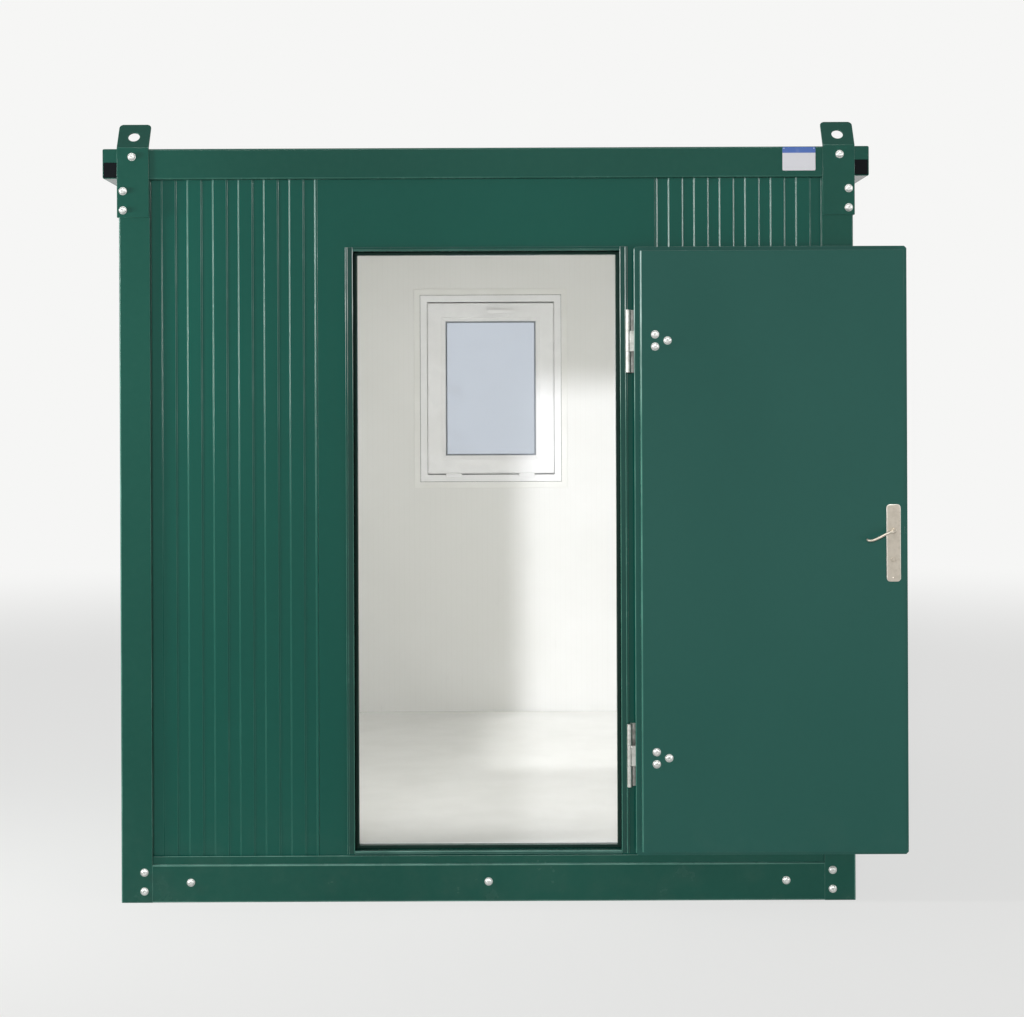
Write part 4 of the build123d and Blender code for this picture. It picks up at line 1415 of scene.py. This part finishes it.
# ---------------------------------------------------------------- window
@dataclass
class BackWindow(SubAssembly):
    """The small tilting window: trim, frame, sash, glazing bead, gasket, panes, handle and hinge covers."""

    trim_near: float = 2.0 * MM
    trim_edge: float = 1.2 * MM
    frame_lip: float = 30.5 * MM
    shadow_gap: float = 2.2 * MM
    stop: float = 15.0 * MM
    gap: float = 2.0 * MM
    edge: float = 1.5 * MM
    sash_flat: float = 64.0 * MM
    sash_lip: float = 3.0 * MM
    groove: float = 1.5 * MM
    bead: float = 18.0 * MM
    bead_fall: float = 8.0 * MM
    gasket: float = 1.8 * MM
    gasket_overlap: float = 0.5 * MM
    gasket_rise: float = 1.2 * MM
    gasket_depth: float = 3.0 * MM
    gasket_edge: float = 1.0 * MM
    pane: float = 4.0 * MM
    pane_edge: float = 0.4 * MM
    spacer_inset: float = 4.0 * MM
    spacer: float = 12.0 * MM
    spacer_edge: float = 0.6 * MM
    handle_edge: float = 2.6 * MM
    covers: tuple[float, float] = (-0.177, 0.172)
    cover_size: tuple[float, float] = (76.0 * MM, 20.0 * MM)
    cover_lift: float = 2.0 * MM
    cover_near: float = 4.0 * MM
    cover_edge: float = 2.5 * MM
    round_segments: int = 3

    def build(self) -> None:
        """Builds the window from the wall to the glass."""
        self.build_frame()
        self.build_sash()
        self.build_glass()
        self.build_handle()

    def build_frame(self) -> None:
        """The flat trim on the lining and the fixed frame inside it."""
        low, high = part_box("window_frame")
        sash_low, sash_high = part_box("window_sash")
        trim_low = Vector((low.x, low.y + self.trim_near, low.z))
        trim_high = Vector((high.x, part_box("back_panel_window")[0].y, high.z))
        through = [(self.frame_lip - self.shadow_gap, 0.0)]
        trim = Shape.of_ring(trim_low, trim_high, through, through).soften(self.trim_edge)
        self.fit(trim, "window_trim_flat", Slot.WHITE_PVC, TRIM)
        lip = Vector((self.frame_lip, 0, self.frame_lip))
        rebate = sash_low.x - low.x - self.frame_lip - self.gap
        body = Shape.of_ring(
            low + lip, high - lip, [(rebate, 0.0), (0.0, low.y - sash_high.y), (self.stop, 0.0)],
            [(rebate + self.stop, 0.0)]).soften(self.edge)
        self.fit(body, "window_frame_moulded", Slot.WHITE_PVC, PVC, replaces=["window_frame"])

    def build_sash(self) -> None:
        """The sash with its two grooves and its sloped glazing bead, and the gasket at the glass."""
        low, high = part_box("window_sash")
        cut = [(self.groove, -self.groove), (self.groove, self.groove)]
        slope = (self.bead, -self.bead_fall)
        steps = [(self.sash_lip, 0.0), *cut, (self.sash_flat - 3 * self.groove, 0.0), *cut, slope]
        width = sum(step for step, _ in steps)
        shape = Shape.of_ring(low, high, steps, [(width - self.bead, 0.0), slope])
        shape.soften(self.edge, choose=lambda edge: any(
            lies_at(edge, axis, corner[axis]) for axis in (X, Z) for corner in (low, high)))
        self.fit(shape, "window_sash_moulded", Slot.WHITE_PVC, PVC, replaces=["window_sash"])
        inner = Vector((width - self.gasket_overlap, 0, width - self.gasket_overlap))
        near = Vector((low.x, low.y + self.bead_fall - self.gasket_rise, low.z)) + inner
        far = Vector((high.x, near.y + self.gasket_depth, high.z)) - inner
        lip = [(self.gasket, 0.0)]
        seal = Shape.of_ring(near, far, lip, lip).soften(self.gasket_edge)
        self.fit(seal, "window_gasket", Slot.RUBBER_SEAL, GASKET)

    def build_glass(self) -> None:
        """Two panes held apart by a grey spacer."""
        low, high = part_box("window_glass")
        panes = Shape()
        for near in (low.y, high.y - self.pane):
            pane = Shape.of_box((low.x, near, low.z), (high.x, near + self.pane, high.z))
            panes.stamp(pane.soften(self.pane_edge))
        self.fit(panes, "window_panes", Slot.WINDOW_GLASS, GLASS, replaces=["window_glass"])
        inset = Vector((self.spacer_inset, self.pane, self.spacer_inset))
        bar = [(self.spacer, 0.0)]
        spacer = Shape.of_ring(low + inset, high - inset, bar, bar).soften(self.spacer_edge)
        self.fit(spacer, "window_spacer", Slot.WHITE_PVC, SPACER)

    def build_handle(self) -> None:
        """The handle on the top member, with hinge covers at the sash's lower corners."""
        self.refine("window_handle", "_moulded", self.handle_edge, Slot.WHITE_PVC, PVC,
                    segments=self.round_segments)
        low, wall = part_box("window_sash")[0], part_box("window_frame")[0].y
        wide, tall = self.cover_size
        top = low.z + self.cover_lift
        covers = Shape()
        for middle in self.covers:
            cover = Shape.of_box((middle - wide / 2, low.y - self.cover_near, top - tall),
                                 (middle + wide / 2, wall, top))
            covers.stamp(cover.soften(self.cover_edge, self.round_segments))
        self.fit(covers, "window_hinge_covers", Slot.WHITE_PVC, PVC)


# ---------------------------------------------------------------- roof, floor and label
@dataclass
class RoofAndFloor(SubAssembly):
    """Roof sheet with its fixing screws, ceiling, floor deck and floor covering."""

    sheet_edge: float = 0.4 * MM
    washer: Pairs = ((9.0, 0.0), (9.0, 1.0), (8.0, 1.8), (6.5, 2.0))
    washer_steps: int = 12
    screw_radius: float = 4.6 * MM
    screw_height: float = 5.0 * MM
    screw_middle: float = 4.0 * MM
    screw_edge: float = 0.6 * MM
    screw_pitch: float = 0.48
    screw_end: float = 0.06
    level: float = 0.99

    def build(self) -> None:
        """Builds the level pieces."""
        self.refine("roof_sheet", "_profiled", self.sheet_edge, Slot.ROOF_STEEL, ROOF_SHEET)
        self.build_screws()
        self.keep(LINING, "ceiling_panel")
        self.keep(BOARD, "floor_deck")
        self.keep(VINYL, "floor_covering")

    def screw(self) -> Shape:
        """A hexagon-headed roof screw on its washer.

        Returns:
            The screw, standing on its own origin.
        """
        head = Shape()
        bmesh.ops.create_cone(
            head.bm, cap_ends=True, segments=6, radius1=self.screw_radius, radius2=self.screw_radius,
            depth=self.screw_height, matrix=Matrix.Translation((0, 0, self.screw_middle)))
        washer = Shape.of_turning(self.washer, self.washer_steps).close()
        return washer.stamp(head.soften(self.screw_edge, 1))

    def build_screws(self) -> None:
        """Screws along the crown of every rib."""
        sheet = Shape.of_node("roof_sheet")
        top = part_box("roof_sheet")[1].z
        places = []
        for face in sheet.bm.faces:
            if face.normal.z < self.level or abs(face.calc_center_median().z - top) > MERGE_GAP:
                continue
            low, high = box_of([vertex.co for vertex in face.verts])
            along = X if high.x - low.x > high.y - low.y else Y
            run = high[along] - low[along] - 2 * self.screw_end
            count = max(2, round(run / self.screw_pitch) + 1)
            for number in range(count):
                at = (low + high) / 2
                at[along] = low[along] + self.screw_end + run * number / (count - 1)
                places.append(Matrix.Translation(at))
        self.fit(Shape().stamp(self.screw(), places), "roof_screws", Slot.ZINC_BOLT, ZINC)


@dataclass
class BlankLabel(SubAssembly):
    """A blank weatherproof plate on the roof rail above the door, held by four small rivets."""

    low_x: float = 0.990
    high_x: float = 1.100
    low_z: float = 2.434
    high_z: float = 2.513
    thickness: float = 0.8 * MM
    corner: float = 4.0 * MM
    corner_segments: int = 4
    plate_edge: float = 0.25 * MM
    band: float = 20.0 * MM
    rivet: Pairs = ((1.7, 0.0), (1.53, 0.51), (0.85, 0.85))
    rivet_steps: int = 12
    rivet_inset: float = 5.0 * MM

    def build(self) -> None:
        """Builds the plate and its rivets."""
        face_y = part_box("roof_rail_front")[0].y
        near = face_y - self.thickness
        shape = Shape.of_box((self.low_x, near, self.low_z), (self.high_x, face_y, self.high_z))
        shape.soften(self.corner, self.corner_segments, lambda edge: runs_along(edge, Y, self.thickness / 2))
        shape.soften(self.plate_edge)
        rivet = Shape.of_turning(self.rivet, self.rivet_steps).close()
        for face in rivet.bm.faces:
            face.material_index = 1
        across, upward = ((low + self.rivet_inset, high - self.rivet_inset) for low, high in (
            (self.low_x, self.high_x), (self.low_z, self.high_z)))
        shape.stamp(rivet, [turn_up_to(OUT, Vector((x, near, z))) for x in across for z in upward])
        film = LabelFilm("blank_label_film", band_bottom=self.high_z - self.band)
        self.fit(shape, "blank_label_plate", Slot.WHITE_PVC, film, ZINC)


# ---------------------------------------------------------------- studio
@dataclass(frozen=True)
class PaleFloor(Finish):
    """Pale studio floor that turns into the backdrop far from the cabin and keeps its shadow."""

    name: str = "pale_studio_floor"
    tone: Tone = (226, 226, 224)
    backdrop_tone: Tone = (246, 246, 245)
    roughness: float = 0.8
    near: float = 5.0
    far: float = 13.0
    lift: float = 0.70

    def shader(self, graph: Graph) -> Wire:
        """A plain floor under the backdrop's own light.

        Args:
            graph: The material's graph.

        Returns:
            The mixed shader.
        """
        plain = graph.add("BsdfPrincipled", sockets={
            "Base Color": linear(self.tone), "Roughness": self.roughness, "Specular IOR Level": 0.0})
        glow = graph.add("Emission", sockets={"Color": linear(self.backdrop_tone), "Strength": 1.0})
        reach = graph.add("VectorMath", {"operation": "LENGTH"}, {0: graph.place()}, "Value")
        share = self.lift + (1.0 - self.lift) * graph.step(reach, self.near, self.far)
        return graph.add("MixShader", sockets={0: seen_rays(graph) * share, 1: plain, 2: glow})


def seen_rays(graph: Graph) -> Wire:
    """1 for rays that show the backdrop: from the camera, off gloss and through glass."""
    camera, glossy, through = (graph.add("LightPath", output=kind) for kind in (
        "Is Camera Ray", "Is Glossy Ray", "Is Transmission Ray"))
    return graph.math("MAXIMUM", camera, graph.math("MAXIMUM", glossy, through))


def hang(name: str, data: Union[bpy.types.Light, bpy.types.Camera]) -> bpy.types.Object:
    """Puts a lamp or a camera into the scene.

    Args:
        name: The object's name.
        data: The lamp or camera.

    Returns:
        The object that holds it.
    """
    holder = bpy.data.objects.new(name, data)
    bpy.context.scene.collection.objects.link(holder)
    return holder


def look(way: Vector) -> Euler:
    """The turn of a lamp that shines in a direction."""
    return way.to_track_quat("-Z", "Y").to_euler()


@dataclass(frozen=True)
class SoftLamp:
    """A rectangular lamp; a gloss-only lamp shows in shiny paint and adds no plain light."""

    name: str
    at: Point
    aim: Point
    size: tuple[float, float]
    power: float
    gloss_only: bool = False
    spread: float = 180.0

    def place(self) -> None:
        """Sets the lamp up, looking at its aim."""
        lamp = bpy.data.lights.new(self.name, "AREA")
        lamp.shape = "RECTANGLE"
        lamp.size, lamp.size_y = self.size
        lamp.energy = self.power
        lamp.spread = math.radians(self.spread)
        holder = hang(self.name, lamp)
        holder.location = self.at
        holder.rotation_euler = look(Vector(self.aim) - Vector(self.at))
        holder.visible_camera = False
        holder.visible_diffuse = not self.gloss_only
        holder.visible_glossy = self.gloss_only


LAMPS = (
    SoftLamp("left_strip", (-6.5, -5.1, 2.8), (0.0, -1.5, 2.3), (2.8, 1.5), 360.0, gloss_only=True),
    SoftLamp("right_strip", (6.5, -3.9, 2.8), (1.0, -1.5, 2.3), (1.0, 1.4), 110.0, gloss_only=True),
    SoftLamp("overhead_strip", (0.0, -6.5, 5.5), (0.0, -1.5, 0.1), (4.5, 0.9), 215.0, gloss_only=True),
    SoftLamp("left_near_lamp", (-3.3, -2.0, 2.05), (-1.2, -1.5, 2.0), (0.35, 0.5), 88.0),
    SoftLamp("right_low_lamp", (3.75, -5.6, 0.70), (1.2, -1.5, 1.2), (0.45, 0.45), 30.0),
    SoftLamp("room_lamp", (0.0, -1.41, 1.50), (0.0, 1.43, 1.50), (2.1, 1.6), 19.9),
    SoftLamp("floor_patch_lamp", (0.36, 0.65, 2.35), (0.36, 0.65, 0.0), (0.75, 1.45), 1.15, spread=8.0),
)


@dataclass
class Studio:
    """Camera, lamps, world and floor."""

    camera_at: Point = (0.0455, -8.1475, 1.6629)
    sensor: float = 36.0
    lens: float = 70.01
    shift: tuple[float, float] = (0.01143, -0.1031)
    roll: float = -0.239
    reach: float = 200.0
    sun_towards: Point = (0.2024, 1.0, -0.139)
    sun_strength: float = 1.50
    sun_angle: float = 3.75
    sun_tint: Point = (0.98, 0.985, 1.045)
    world_light: float = 0.30
    backdrop: Tone = (246, 246, 245)
    floor_size: float = 40.0

    def build(self) -> None:
        """Sets up everything that isn't the cabin."""
        bpy.context.scene.view_settings.view_transform = "Standard"
        self.build_world()
        self.build_floor()
        self.build_sun()
        for lamp in LAMPS:
            lamp.place()
        self.build_camera()

    def build_world(self) -> None:
        """Plain grey light for the cabin, and the pale backdrop for rays that are seen."""
        world = bpy.data.worlds.new("studio_world")
        world.use_nodes = True
        bpy.context.scene.world = world
        graph = Graph(world.node_tree)
        light = (self.world_light, self.world_light, self.world_light, 1.0)
        colour = graph.mix(seen_rays(graph), light, self.backdrop)
        sky = graph.add("Background", sockets={"Color": colour, "Strength": 1.0})
        graph.node("OutputWorld", sockets={"Surface": sky})

    def build_floor(self) -> None:
        """The pale floor under the cabin."""
        shape = Shape()
        bmesh.ops.create_grid(shape.bm, x_segments=1, y_segments=1, size=self.floor_size / 2)
        shape.to_object("studio_floor", [PaleFloor()])

    def build_sun(self) -> None:
        """The soft main lamp, from the front and a little from the left."""
        lamp = bpy.data.lights.new("main_lamp", "SUN")
        lamp.energy = self.sun_strength
        lamp.color = self.sun_tint
        lamp.angle = math.radians(self.sun_angle)
        holder = hang("main_lamp", lamp)
        holder.rotation_euler = look(Vector(self.sun_towards))
        holder.visible_glossy = False

    def build_camera(self) -> None:
        """The camera at eye height in front of the door wall."""
        camera = bpy.data.cameras.new("front_camera")
        camera.sensor_width = self.sensor
        camera.sensor_fit = "HORIZONTAL"
        camera.lens = self.lens
        camera.shift_x, camera.shift_y = self.shift
        camera.clip_end = self.reach
        holder = hang("front_camera", camera)
        turn = Matrix.Rotation(math.radians(90.0), 4, "X") @ Matrix.Rotation(math.radians(self.roll), 4, "Z")
        holder.matrix_world = Matrix.Translation(self.camera_at) @ turn
        bpy.context.scene.camera = holder


def main() -> None:
    """Builds every sub-assembly in order, then the studio."""
    logging.basicConfig(level=logging.INFO, format="%(name)s: %(message)s")
    for assembly in (SteelFrame(), BoltHeads(), Walls(), DoorFrame(), DoorLeaf(), LockSet(), BackWindow(),
                     RoofAndFloor(), BlankLabel(), Studio()):
        log.info("building the %s", type(assembly).__name__)
        assembly.build()


if __name__ == "__main__":
    main()
